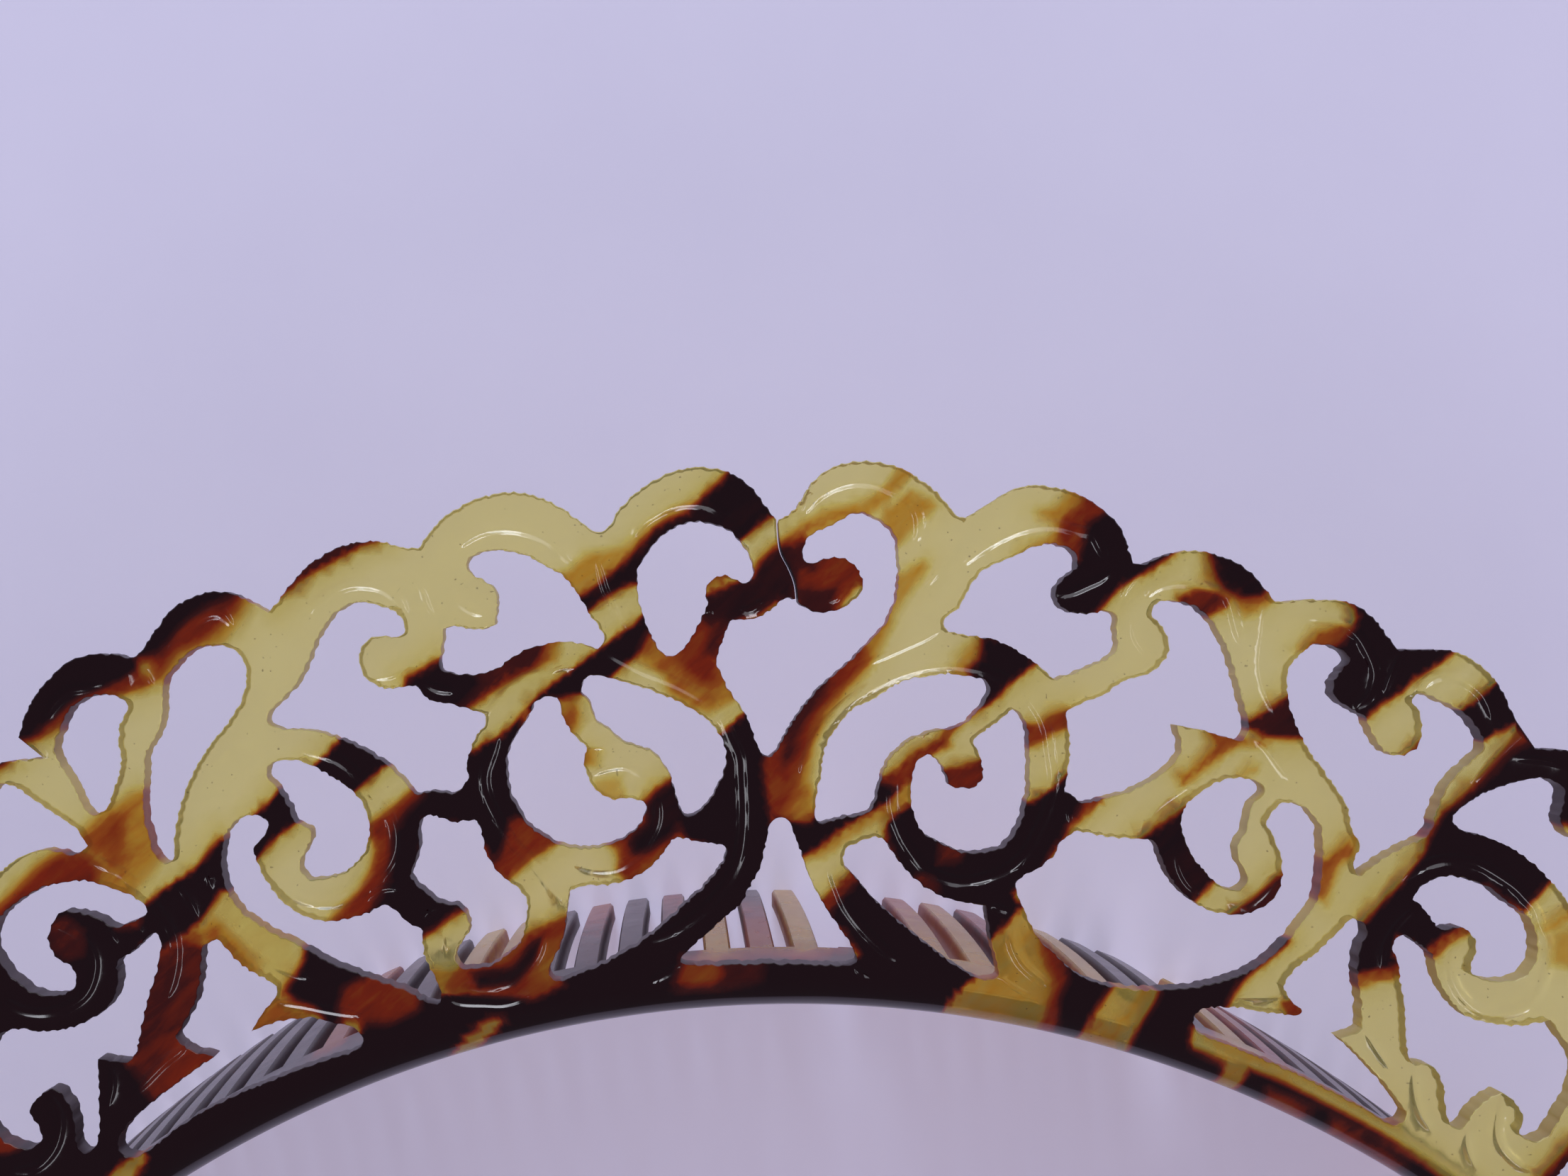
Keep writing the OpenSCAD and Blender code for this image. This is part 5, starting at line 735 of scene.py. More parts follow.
    (1.0, 0.25, [(46.6, 20.5), (48, 21.5), (49.6, 22.9), (50.4, 22), (51.2, 20), (50.2, 19.5), (49.2, 19),
        (47.9, 18.2), (47, 19.2)]),
    (0.6, 0.45, [(44, 11.2), (45.3, 13.1), (46.3, 14.3), (47.1, 15), (48.3, 16.2), (49.5, 17.6),
        (50.5, 18.9), (51.2, 20), (52.4, 21), (60, 19), (60, 12), (52, 13), (46, 12)]),
    (1.0, 0.6, [(45.4, 12.6), (46.6, 14), (47.9, 15.2), (49.2, 16.6), (50.5, 18), (52.4, 18.8), (60, 18),
        (60, 12), (52, 13), (47, 12.6)]),
    # far right ring, its curl and the leg under it
    (1.0, 0.45, [(40, 5.8), (41.4, 7.3), (42.7, 8.6), (43.5, 9.6), (44.3, 10.8), (44.8, 12), (45.8, 13.8),
        (47.4, 13.6), (48.8, 13), (50.9, 12), (52.6, 10.2), (53.4, 8.8), (52.4, 7.6), (51.4, 6.5),
        (50, 7.2), (48.8, 8.2), (46.6, 8.6), (44.8, 8.2), (44.4, 7), (45.6, 6), (47.8, 6.2), (47, 5.4),
        (46, 4.9), (45, 4.2), (44, 3.4), (43.4, 4.4), (42.4, 4.8), (42.2, 3.6), (42.8, 2.6), (41.9, 2.3),
        (40.8, 2.2), (39.8, 1.8), (38.8, 2.6)]),
    (0.6, 0.4, [(44.2, 3.2), (45, 4.2), (46, 4.9), (47, 5.4), (48.2, 5.6), (47.4, 4.8), (46.2, 4.2),
        (45.2, 3.2)]),
    (0.5, 0.35, [(38.9, 0.9), (40, 1.1), (41, 1.5), (42, 1.6), (43.1, 2), (43, 3), (41.8, 2.6),
        (40.6, 2.4), (39, 2)]),
    (0.34, 0.3, [(52, 5.3), (53.2, 5.9), (54.6, 6.9), (56, 7.6), (56, 6.8), (54.4, 5.8), (53, 5)]),
    (0.3, 0.4, [(53.4, 2.8), (53.6, 5.2), (55.4, 5.4), (55.2, 2.4)]),
    (0.6, 0.25, [(34.2, 0.3), (35.2, 0.4), (36, -0.8), (34.8, -1), (34.2, -0.4)]),
    (0.8, 0.5, [(52.4, -12.2), (54.4, -10), (57, -8), (60, -14), (54, -16)]),
    # hidden ends, striped as the rest
    (1.0, 0.4, [(56, 6), (59, 9.5), (62, 12), (64, 10), (60, 6), (57.4, 3)]),
    (1.0, 0.5, [(62, -2), (66, 2), (69, 4), (71, 0), (67, -3), (64, -6)]),
    (0.7, 0.6, [(58, -10), (63, -5.5), (67, -10), (63, -15)]),
    (1.0, 0.5, [(56.7, -25.5), (74.9, -9.9), (77.5, -12.9), (59.3, -28.5)]),
    (0.6, 0.6, [(63, -33.9), (78.2, -20.9), (80.2, -23.1), (65, -36.1)]),
    (1.0, 0.5, [(67.4, -42.1), (81.1, -30.4), (84.3, -34.2), (70.6, -45.9)]),
    (0.8, 0.5, [(73.2, -51.5), (83.2, -43), (84.8, -45), (74.8, -53.5)]),
    (1.0, 0.5, [(-66, 1), (-62, 5), (-60, 9), (-57.6, 10), (-59, 5), (-62, -1)]),
    (0.6, 0.6, [(-66, -8), (-60, -4), (-58, -7), (-63, -13)]),
    (1.0, 0.5, [(-74, -8), (-69, -2), (-66, -3), (-70, -12)]),
    (0.6, 0.6, [(-85, -28.9), (-67, -13.9), (-65, -16.1), (-83, -31.1)]),
    (1.0, 0.5, [(-89.1, -43.7), (-63.1, -21.7), (-60.9, -24.3), (-86.9, -46.3)]),
    (1.0, 0.5, [(-83.3, -54.5), (-71.3, -44.5), (-68.7, -47.5), (-80.7, -57.5)]),
]

# Darkness of the teeth, as (number from the middle, at the root, at the tip)
TOOTH_TONES = [
    (-31, 0.7, 0.9), (-28, 0.9, 0.5), (-25, 0.3, 0.8), (-22, 0.9, 0.9), (-17, 0.9, 0.85),
    (-14, 0.9, 0.9), (-12, 0.9, 0.85), (-11, 0.45, 0.5), (-10, 0.85, 0.85), (-9, 0.9, 0.9),
    (-8, 0.25, 0.22), (-7, 0.3, 0.25), (-6, 0.9, 0.85), (-5, 0.9, 0.45), (-4, 0.9, 0.85),
    (-3, 0.85, 0.6), (-2, 0.25, 0.3), (-1, 0.4, 0.9), (0, 0.25, 0.25), (1, 0.7, 0.8),
    (2, 0.85, 0.6), (3, 0.25, 0.5), (4, 0.25, 0.4), (5, 0.6, 0.6), (6, 0.4, 0.3),
    (7, 0.25, 0.22), (8, 0.9, 0.9), (9, 0.9, 0.9), (10, 0.25, 0.25), (11, 0.62, 0.22),
    (12, 0.8, 0.45), (13, 0.85, 0.75), (16, 0.9, 0.9), (19, 0.3, 0.4), (22, 0.9, 0.9),
    (25, 0.3, 0.9), (28, 0.9, 0.5), (31, 0.7, 0.8)
]


# Outlines

def polar(angle, height):
    """The point at an angle from the middle and a height over the band's inner edge."""
    turn = math.radians(angle)
    return ((ARCH + height) * math.sin(turn), (ARCH + height) * math.cos(turn))


def charted(p):
    """A charted point, measured from the arch's centre."""
    return (p[0], p[1] + CHART_START + ARCH)


def crest_height(angle):
    """Height of the crest's top at an angle from the middle."""
    return CREST - CREST_FALL * (angle / CREST_FALL_ANGLE) ** 2


def spline(rows, closed, step=SPLINE_STEP):
    """A smooth curve through the rows, which breaks at the rows marked as corners."""
    pts = [np.array(r[:2], float) for r in rows]
    n = len(rows)
    out = []
    for i in range(n if closed else n - 1):
        p1, p2 = pts[i], pts[(i + 1) % n]
        sharp_start = len(rows[i]) > 2 or (not closed and i == 0)
        sharp_end = len(rows[(i + 1) % n]) > 2 or (not closed and i == n - 2)
        p0 = 2 * p1 - p2 if sharp_start else pts[i - 1]
        p3 = 2 * p2 - p1 if sharp_end else pts[(i + 2) % n]
        steps = max(1, int(np.linalg.norm(p2 - p1) / step))
        t = (np.arange(steps) / steps)[:, None]
        out.append(0.5 * (2 * p1 + (p2 - p0) * t + (2 * p0 - 5 * p1 + 4 * p2 - p3) * t ** 2
                          + (3 * p1 - p0 - 3 * p2 + p3) * t ** 3))
    if not closed:
        out.append(pts[-1][None, :])
    return np.vstack(out)


def resampled(pts, step, closed):
    """The same line with points at even distances."""
    line = np.vstack([pts, pts[:1]]) if closed else pts
    along = np.concatenate([[0], np.cumsum(np.linalg.norm(np.diff(line, axis=0), axis=1))])
    count = max(3, int(round(along[-1] / step)))
    at = np.linspace(0, along[-1], count + 1)
    if closed:
        at = at[:-1]
    return np.stack([np.interp(at, along, line[:, k]) for k in (0, 1)], axis=1)


def area(pts):
    """Area in a closed line, which is negative where the line runs clockwise."""
    x, y = pts[:, 0], pts[:, 1]
    return 0.5 * np.sum(x * np.roll(y, -1) - np.roll(x, -1) * y)


def clockwise(line):
    """A closed line, turned round where it runs the other way."""
    return line if area(line) < 0 else line[::-1]


def inward(pts, closed=True):
    """Unit normals to the left of the line's way, where the sheet's material lies."""
    if closed:
        d = np.roll(pts, -1, axis=0) - np.roll(pts, 1, axis=0)
    else:
        d = np.gradient(pts, axis=0)
    d /= np.maximum(np.linalg.norm(d, axis=1), 1e-9)[:, None]
    return np.stack([-d[:, 1], d[:, 0]], axis=1)


def chatter(count, step, rng):
    """Depth of the saw's uneven bites along an edge, from 0 to 1."""
    ends, depths = [0.0], []
    while ends[-1] < count * step:
        ends.append(ends[-1] + rng.uniform(*BITE_LENGTH))
        depths.append(rng.uniform(BITE_LEAST, 1))
    s = np.arange(count) * step
    k = np.searchsorted(ends, s, side="right") - 1
    start, stop = np.array(ends)[k], np.array(ends)[k + 1]
    share = (s - start) / (stop - start)
    return (1 - (2 * share - 1) ** 2) * np.array(depths)[k]


def piercing_lines():
    """Every opening of the crest, from the arch's centre."""
    lines = [spline([charted(r) + tuple(r[2:]) for r in rows], True) for rows in PIERCINGS]
    foot = BAND + FOOT_RISE
    for angle, cover, low, shapes in END_MOTIFS:
        lowest = foot + low * (crest_height(angle) - foot - END_RIM)
        for shape in shapes:
            rows = spline(shape, True, MOTIF_STEP)
            angles = angle + rows[:, 0] * cover
            lines.append(np.array([polar(a, lowest + h * (crest_height(a) - lowest - END_RIM))
                                   for a, h in zip(angles, rows[:, 1])]))
    middle = spline([charted(p) for p in SPLIT], False)[3:]
    half = np.array([SPLIT_WIDTH / 2, 0])
    return lines, np.vstack([middle - half, (middle + half)[::-1]])


def lobes(valley, side):
    """Top outline of a hidden end, from the angle of a valley on: lobes that shrink and sink."""
    out = []
    end = ARCH_HALF + END_SPARE
    steps = END_LOBES * LOBE_STEPS
    for k in range(FIRST_LOBE_STEP, steps + 1):
        a = valley + (end - valley) * (1 - (1 - k / steps) ** LOBE_TAPER)
        swell = abs(math.sin(math.pi * k / LOBE_STEPS))
        if a < ARCH_HALF:
            out.append(polar(side * a, crest_height(a) * (1 - VALLEY_DIP * (1 - swell))))
    last = np.linalg.norm(out[-1]) - ARCH
    out.append(polar(side * ARCH_HALF, last - LAST_DIP))
    return np.array(out)


def end_wall(side, tip):
    """Points down an end of the arch, between the last lobe's tip and the bend."""
    foot = np.array(polar(side * ARCH_HALF, BEND))
    count = int(np.linalg.norm(tip - foot) / (2 * EDGE_STEP))
    share = (np.arange(1, count) / count)[:, None]
    return tip + (foot - tip) * share


def crest_loops(arc):
    """The outer loop of the crest and its openings, with the material to the left of each.
    A row is x, y and how strongly the saw bit there; the arc's own rows have -1."""
    lines, split = piercing_lines()
    heart = clockwise(resampled(lines[0], EDGE_STEP, True))
    top = resampled(spline([charted(r) + tuple(r[2:]) for r in TOP], False), EDGE_STEP, False)[::-1]
    valley = np.argmin(np.hypot(top[:, 0] - split[0, 0], top[:, 1] - (ARCH + CHART_START + SPLIT_TOP)))
    half = len(split) // 2
    banks = []
    for side in (split[half:][::-1], split[:half]):
        bank = resampled(side, EDGE_STEP, False)
        bank = bank[~inside(bank, heart)]
        banks.append(bank[bank[:, 1] < top[valley, 1] - EDGE_STEP / 2])
    right_top = top[:valley][top[:valley, 0] > banks[0][0, 0]]
    left_top = top[valley:][top[valley:, 0] < banks[1][0, 0]]
    start, stop = (np.argmin(np.linalg.norm(heart - bank[-1], axis=1)) for bank in banks)
    ring = np.roll(heart, -start - 1, axis=0)[:(stop - start - 1) % len(heart)]
    left = resampled(lobes(LEFT_VALLEY, -1), EDGE_STEP, False)
    right = resampled(lobes(RIGHT_VALLEY, 1), EDGE_STEP, False)[::-1]
    left_end, right_end = end_wall(-1, left[-1]), end_wall(1, right[0])
    parts = [(right, 1), (right_top, 1), (banks[0], 0), (ring, 1), (banks[1][::-1], 0), (left_top, 1),
             (left, 1), (left_end, 0), (arc, -1), (right_end[::-1], 0)]
    outer = np.vstack([np.column_stack([p, np.full(len(p), float(mark))]) for p, mark in parts])
    holes = [clockwise(resampled(line, EDGE_STEP, True)) for line in lines[1:]]
    return [outer] + [np.column_stack([hole, np.ones(len(hole))]) for hole in holes]


def in_box(points, line, reach=0.0):
    """Numbers of the points that lie in a line's bounding box, widened by a reach."""
    low, high = line.min(axis=0) - reach, line.max(axis=0) + reach
    return np.nonzero(((points > low) & (points < high)).all(axis=1))[0]


def to_segments(points, starts, stops):
    """Distance of each point from each segment, and how far along it, from 0 to 1, it is nearest."""
    way = (stops - starts)[None]
    apart = points[:, None] - starts[None]
    along = np.clip(np.sum(apart * way, axis=2) / np.sum(way * way, axis=2), 0, 1)
    return np.linalg.norm(apart - along[..., None] * way, axis=2), along


def inside(points, loop):
    """Which points lie inside a closed loop."""
    x, y = points[:, 0], points[:, 1]
    found = np.zeros(len(points), bool)
    near = in_box(points, loop)
    ax, ay = loop[:, 0], loop[:, 1]
    bx, by = np.roll(ax, -1), np.roll(ay, -1)
    for part in np.array_split(near, len(near) * len(loop) // BATCH + 1):
        px, py = x[part][:, None], y[part][:, None]
        spans = (ay[None] > py) != (by[None] > py)
        rise = np.where(by == ay, 1e-12, by - ay)[None]
        hit = px < (bx - ax)[None] * (py - ay[None]) / rise + ax[None]
        found[part] = (np.sum(spans & hit, axis=1) % 2).astype(bool)
    return found


def in_sheet(points, loops):
    """Which points lie inside the outer loop, the first one, and in none of the openings."""
    found = inside(points, loops[0])
    for loop in loops[1:]:
        found &= ~inside(points, loop)
    return found


# Carving

def groove_lines():
    """Each carved line, evened out, with its half width, depth and taper at every point."""
    out = []
    for width, depth, points in GROOVES:
        line = resampled(spline([charted(p) for p in points], False), GROOVE_STEP, False)
        along = np.arange(len(line)) * GROOVE_STEP
        ends = np.minimum(along, along[::-1])
        taper = np.clip(ends / GROOVE_TAPER, 0, 1)
        taper = np.sqrt(taper * (2 - taper))
        out.append((line, width / 2, depth, taper))
    return out


def groove_points(lines):
    """Points along both banks and the bed of every carved line."""
    rows = []
    for line, half, _, taper in lines:
        normal = inward(line, False)
        reach = half * np.maximum(GROOVE_THIN, taper)
        for k in GROOVE_ROWS:
            for side in ((1, -1) if k else (1,)):
                rows.append(line + normal * (side * k * reach)[:, None])
    return np.vstack(rows)


def groove_depth(points, lines):
    """How far the face is carved away at each point."""
    deep = np.zeros(len(points))
    for line, half, depth, taper in lines:
        near = in_box(points, line, half)
        if not len(near):
            continue
        gap, along = to_segments(points[near], line[:-1], line[1:])
        best = np.argmin(gap, axis=1)
        row = np.arange(len(near))
        gap, along = gap[row, best], along[row, best]
        thin = taper[:-1][best] * (1 - along) + taper[1:][best] * along
        share = gap / (half * np.maximum(GROOVE_THIN, thin))
        found = depth * thin * np.clip(1 - share ** 2, 0, None)
        deep[near] = np.maximum(deep[near], found)
    return deep


# Flange and teeth

def lean(d):
    """How far the sheet has moved outwards at a depth below the crest's face."""
    t = d / DEPTH
    return 4 * TOOTH_BOW * t * (1 - t) + TIP_LEAN * t


def thickness(d):
    """Thickness of the sheet at a depth below the crest's face."""
    return SHEET - TOOTH_THIN * max(0, d - FLANGE) / (DEPTH - FLANGE)


def gap_numbers():
    """Numbers of the first and the last gap, from the middle. A tooth has its right gap's number."""
    return (math.ceil((-ARCH_HALF + END_TOOTH - FIRST_TOOTH) / TOOTH_ANGLE - 0.5),
            math.floor((ARCH_HALF - END_TOOTH - FIRST_TOOTH) / TOOTH_ANGLE - 0.5))


def tooth_angles():
    """Middle and half width of each tooth, in degrees along the arch."""
    gap = TOOTH_ANGLE * GAP / TOOTH_PITCH
    first, last = gap_numbers()
    cuts = [FIRST_TOOTH + (k + 0.5) * TOOTH_ANGLE for k in range(first, last + 1)]
    starts = [-ARCH_HALF] + [c + gap / 2 for c in cuts]
    stops = [c - gap / 2 for c in cuts] + [ARCH_HALF]
    return [((a + b) / 2, (b - a) / 2) for a, b in zip(starts, stops)]


def columns():
    """Every column of the flange, and for each tooth the place of its first one."""
    angles, firsts = [], []
    teeth = tooth_angles()
    for k, (middle, half) in enumerate(teeth):
        firsts.append(len(angles))
        angles += [middle + half * c for c in COLUMNS]
        if k + 1 < len(teeth):
            nxt = teeth[k + 1]
            angles.append((middle + half + nxt[0] - nxt[1]) / 2)
    return angles, firsts


class Shape:
    """Vertices and faces, collected piece by piece."""

    def __init__(self):
        self.points = []
        self.faces = []
        self.sawn = []
        self.count = 0

    def add(self, rows, sawn=0.0):
        """Adds vertices, with how frosted each one is, and returns the first one's number."""
        rows = np.asarray(rows, float)
        self.points.append(rows)
        self.sawn.append(np.full(len(rows), sawn))
        start = self.count
        self.count += len(rows)
        return start

    def add_row(self, rows, sawn=0.0):
        """Adds vertices and returns their numbers."""
        start = self.add(rows, sawn)
        return list(range(start, self.count))

    def strip(self, a, b, closed=False):
        """Quads between two rows of vertex numbers."""
        n = len(a)
        for i in range(n if closed else n - 1):
            j = (i + 1) % n
            self.faces.append((a[i], a[j], b[j], b[i]))


def around(angle, radius, z):
    """A point at an angle from the middle, a distance from the arch's axis and a height."""
    turn = math.radians(angle)
    return (radius * math.sin(turn), radius * math.cos(turn), z)


def section_rows():
    """Pairs of (radius, height) on the head's side and on the back, from the band down to the flange."""
    rows = []
    low = DEPTH - BEND
    for a in range(0, 91, BEND_STEP):
        s, c = math.sin(math.radians(a)), math.cos(math.radians(a))
        rows.append(((ARCH + BEND - BEND * s, low + BEND * c),
                     (ARCH + BEND - BEND_INSIDE * s, low + BEND_INSIDE * c)))
    return rows + [wall_section(d) for d in FLANGE_ROWS]


def wall_section(d):
    """(radius, height) on the head's side and on the back, at a depth below the crest's face."""
    r = ARCH + lean(d) - lean(BEND)
    return (r, DEPTH - d), (r + thickness(d), DEPTH - d)


def add_flange(shape, angles):
    """The bend and the flange. Returns the vertices at the gaps' roots: the head's side, the back."""
    rows = section_rows()
    root = wall_section(FLANGE)
    grids = []
    for side in (0, 1):
        grid = [shape.add_row([around(a, *pair[side]) for a in angles]) for pair in rows]
        grid.append(shape.add_row([around(a, *root[side]) for a in angles], FACE_FROST))
        for upper, lower in zip(grid, grid[1:]):
            shape.strip(upper, lower)
        grids.append(grid)
    for edge in (0, -1):
        front, back = [g[edge] for g in grids[0]], [g[edge] for g in grids[1]]
        # the crest's end wall meets the flange's end at these two places
        meet = shape.add_row([around(angles[edge], ARCH + BEND, DEPTH - RIM),
                              around(angles[edge], ARCH + BEND, DEPTH - SHEET + RIM)])
        shape.faces.append((front[0], *meet, back[0], back[1], front[1]))
        shape.strip(front[1:], back[1:])
    return grids[0][-1], grids[1][-1]


def add_roots(shape, angles, firsts, root_in, root_out):
    """The gaps' roots and the row's two ends. Returns, by column, the two vertices between the sides."""
    (r_in, z), (r_out, _) = wall_section(FLANGE)
    walls = {}
    for k, first in enumerate(firsts):
        wanted = [first, first + LAST] + ([first + LAST + 1] if k + 1 < len(firsts) else [])
        for c in wanted:
            walls[c] = shape.add_row([around(angles[c], r_in + EDGE_ROUND, z),
                                      around(angles[c], r_out - EDGE_ROUND, z)], WALL_FROST)
    for c in (firsts[0], firsts[-1] + LAST):
        shape.faces.append((root_in[c], *walls[c], root_out[c]))
    for first in firsts[:-1]:
        gap = range(first + LAST, first + LAST + 3)
        shape.strip([root_in[c] for c in gap], [walls[c][0] for c in gap])
        shape.strip([walls[c][0] for c in gap], [walls[c][1] for c in gap])
        shape.strip([walls[c][1] for c in gap], [root_out[c] for c in gap])
    return walls


def tooth_rows(number):
    """Depths of a tooth's rings below its root. A broken tooth ends early."""
    if number not in BROKEN_TEETH:
        return TOOTH_ROWS
    end = FLANGE + BROKEN_TEETH[number]
    return [d for d in TOOTH_ROWS if d < end - STUMP_SPARE] + [end]


def add_teeth(shape, rng):
    """The bend, the flange and the teeth, as one skin that meets the crest's two faces."""
    angles, firsts = columns()
    root_in, root_out = add_flange(shape, angles)
    walls = add_roots(shape, angles, firsts, root_in, root_out)
    low, high = gap_numbers()
    for number, first, (middle, half) in zip(range(low, high + 2), firsts, tooth_angles()):
        last = first + LAST
        for edge, near in ((first, first + 1), (last, last - 1)):
            shape.faces.append((root_in[edge], root_in[near], walls[edge][0]))
            shape.faces.append((root_out[edge], root_out[near], walls[edge][1]))
        ring = root_in[first + 1:last] + walls[last] + root_out[last - 1:first:-1] + walls[first][::-1]
        wander = rng.uniform(-TOOTH_WANDER, TOOTH_WANDER)
        for d in tooth_rows(number):
            ring = add_tooth_ring(shape, ring, d, middle, half, wander)
        shape.faces.append(tuple(ring))


def add_tooth_ring(shape, above, d, middle, half, wander):
    """One more ring of a tooth, rounded at its edges and at its tip."""
    z = DEPTH - d
    slimmest = TIP_HALF / (math.radians(half) * (ARCH + SHEET / 2))
    share = min(1, z / TIP_ROUND)
    narrow = slimmest + (1 - slimmest) * math.sqrt(share * (2 - share))
    share = min(1, z / (TIP_ROUND / 2))
    pinch = (1 - math.sqrt(share * (2 - share))) * thickness(d) * TIP_PINCH
    r_in = ARCH + lean(d) - lean(BEND)
    r_in, r_out = r_in + pinch, r_in + thickness(d) - pinch
    round_by = min(EDGE_ROUND, (r_out - r_in) / 3)
    sway = math.degrees(wander / ARCH) * ((d - FLANGE) / (DEPTH - FLANGE)) ** 2
    inner = COLUMNS[1:-1]
    places = ([(c, r_in) for c in inner] + [(1, r_in + round_by), (1, r_out - round_by)]
              + [(c, r_out) for c in inner[::-1]] + [(-1, r_out - round_by), (-1, r_in + round_by)])
    frost = [WALL_FROST if abs(c) == 1 else FACE_FROST for c, _ in places]
    ring = shape.add_row([around(middle + sway + half * narrow * c, r, z) for c, r in places], frost)
    shape.strip(above, ring, closed=True)
    return ring


# Crest

def honeycomb(step, low, high):
    """Staggered points over a rectangle."""
    rise = step * math.sqrt(3) / 2
    out = []
    for k, y in enumerate(np.arange(low[1], high[1], rise)):
        x = np.arange(low[0] + (k % 2) * step / 2, high[0], step)
        out.append(np.column_stack([x, np.full(len(x), y)]))
    return np.vstack(out)


def far_from(points, others, least):
    """Which points are at least a distance away from all the others."""
    tree = KDTree(len(others))
    for i, p in enumerate(others):
        tree.insert((p[0], p[1], 0), i)
    tree.balance()
    return np.array([tree.find((p[0], p[1], 0))[2] >= least for p in points])


def thinned(points, least):
    """The points without those that crowd others, in the order given."""
    seen = {}
    keep = []
    cells = [(dx, dy) for dx in (-1, 0, 1) for dy in (-1, 0, 1)]
    for i, (x, y) in enumerate(points):
        cell = (int(x // least), int(y // least))
        others = [p for dx, dy in cells for p in seen.get((cell[0] + dx, cell[1] + dy), ())]
        if all((px - x) ** 2 + (py - y) ** 2 >= least * least for px, py in others):
            seen.setdefault(cell, []).append((x, y))
            keep.append(i)
    return points[keep]


def filled(loops, extra):
    """Triangles between the loops. Returns the places, the loops' vertex numbers and the faces."""
    points = np.vstack([*loops, extra])
    edges = []
    start = 0
    for loop in loops:
        n = len(loop)
        edges += [(start + i, start + (i + 1) % n) for i in range(n)]
        start += n
    out, _, tris, origin, _, _ = delaunay_2d_cdt([Vector(p) for p in points], edges, [], 0, 1e-6)
    where = np.array([(v.x, v.y) for v in out])
    number = {old: new for new, olds in enumerate(origin) for old in olds}
    # the loops keep their exact places, so that they meet the parts built beside them
    for old, new in number.items():
        where[new] = points[old]
    tris = np.array(tris)
    good = in_sheet(where[tris].mean(axis=1), loops)
    return where, [number[i] for i in range(start)], tris[good]


def ease(line):
    """How far each point of a closed line may move inwards: less where the line turns sharply."""
    before = line - np.roll(line, TURN_REACH, axis=0)
    after = np.roll(line, -TURN_REACH, axis=0) - line
    lengths = np.linalg.norm(before, axis=1) * np.linalg.norm(after, axis=1)
    # the turn's cosine: the share is whole up to a turn of about 37 degrees
    straight = (before * after).sum(axis=1) / lengths
    share = np.clip((straight + 0.4) / 1.2, TURN_SHARE, 1.0)
    return np.min([np.roll(share, k) for k in range(-TURN_REACH, TURN_REACH + 1)], axis=0)


def wall_lines(loop, rng):
    """Four lines down a loop's sawn wall: the face's border, the wall's two edges, the back's border."""
    xy, mark = loop[:, :2], loop[:, 2]
    normal = inward(xy) * ease(xy)[:, None]
    normal[mark < 0] = 0
    bite = chatter(len(xy), EDGE_STEP, rng) * np.clip(mark, 0, 1)
    lower = BITE_TRAIL * np.roll(bite, 1) + (1 - BITE_TRAIL) * bite
    moves = (RIM + BITE_FRONT * bite, BITE_FRONT * bite, BITE_BACK * lower, BITE_BACK * lower + RIM)
    return [xy + normal * move[:, None] for move in moves]


def add_crest(shape, rng):
    """The pierced plate: its carved face, its sawn edges and its plain back."""
    angles, _ = columns()
    loops = crest_loops(np.array([polar(a, BEND) for a in angles]))
    fronts, uppers, lowers, rears = zip(*[wall_lines(loop, rng) for loop in loops])
    carved = groove_lines()
    border = np.vstack(fronts)
    grooves = thinned(groove_points(carved), GROOVE_SPACING)
    grid = honeycomb(FACE_GRID, border.min(axis=0), border.max(axis=0))
    grid = grid[far_from(grid, grooves, FACE_GRID / 2)]
    extra = np.vstack([grooves, grid])
    extra = extra[in_sheet(extra, fronts)]
    extra = extra[far_from(extra, border, KEEP_OFF)]
    where, ring, tris = filled(fronts, extra)
    deep = groove_depth(where, carved)
    # nothing is carved where the bend begins
    deep[np.hypot(where[:, 0], where[:, 1]) < ARCH + BEND + BEND_MARGIN] = 0
    front = shape.add(np.column_stack([where, DEPTH - deep]))
    shape.faces += [tuple(front + t) for t in tris]
    plain = honeycomb(BACK_GRID, border.min(axis=0), border.max(axis=0))
    plain = plain[in_sheet(plain, rears)]
    plain = plain[far_from(plain, np.vstack(rears), BACK_GRID / 2)]
    where_back, ring_back, tris_back = filled(rears, plain)
    back = shape.add(np.column_stack([where_back, np.full(len(where_back), DEPTH - SHEET)]))
    shape.faces += [tuple(back + t) for t in tris_back]
    at = 0
    for loop, upper, lower in zip(loops, uppers, lowers):
        n = len(loop)
        top, bottom = ring[at:at + n], ring_back[at:at + n]
        lines = [[front + v for v in top],
                 shape.add_row(np.column_stack([upper, DEPTH - deep[top] - RIM]), WALL_FROST),
                 shape.add_row(np.column_stack([lower, np.full(n, DEPTH - SHEET + RIM)]), WALL_FROST),
                 [back + v for v in bottom]]
        for i in range(n):
            j = (i + 1) % n
            if loop[i, 2] < 0 and loop[j, 2] < 0:
                continue
            for a, b in zip(lines, lines[1:]):
                shape.faces.append((a[i], a[j], b[j], b[i]))
        at += n


# Clouds

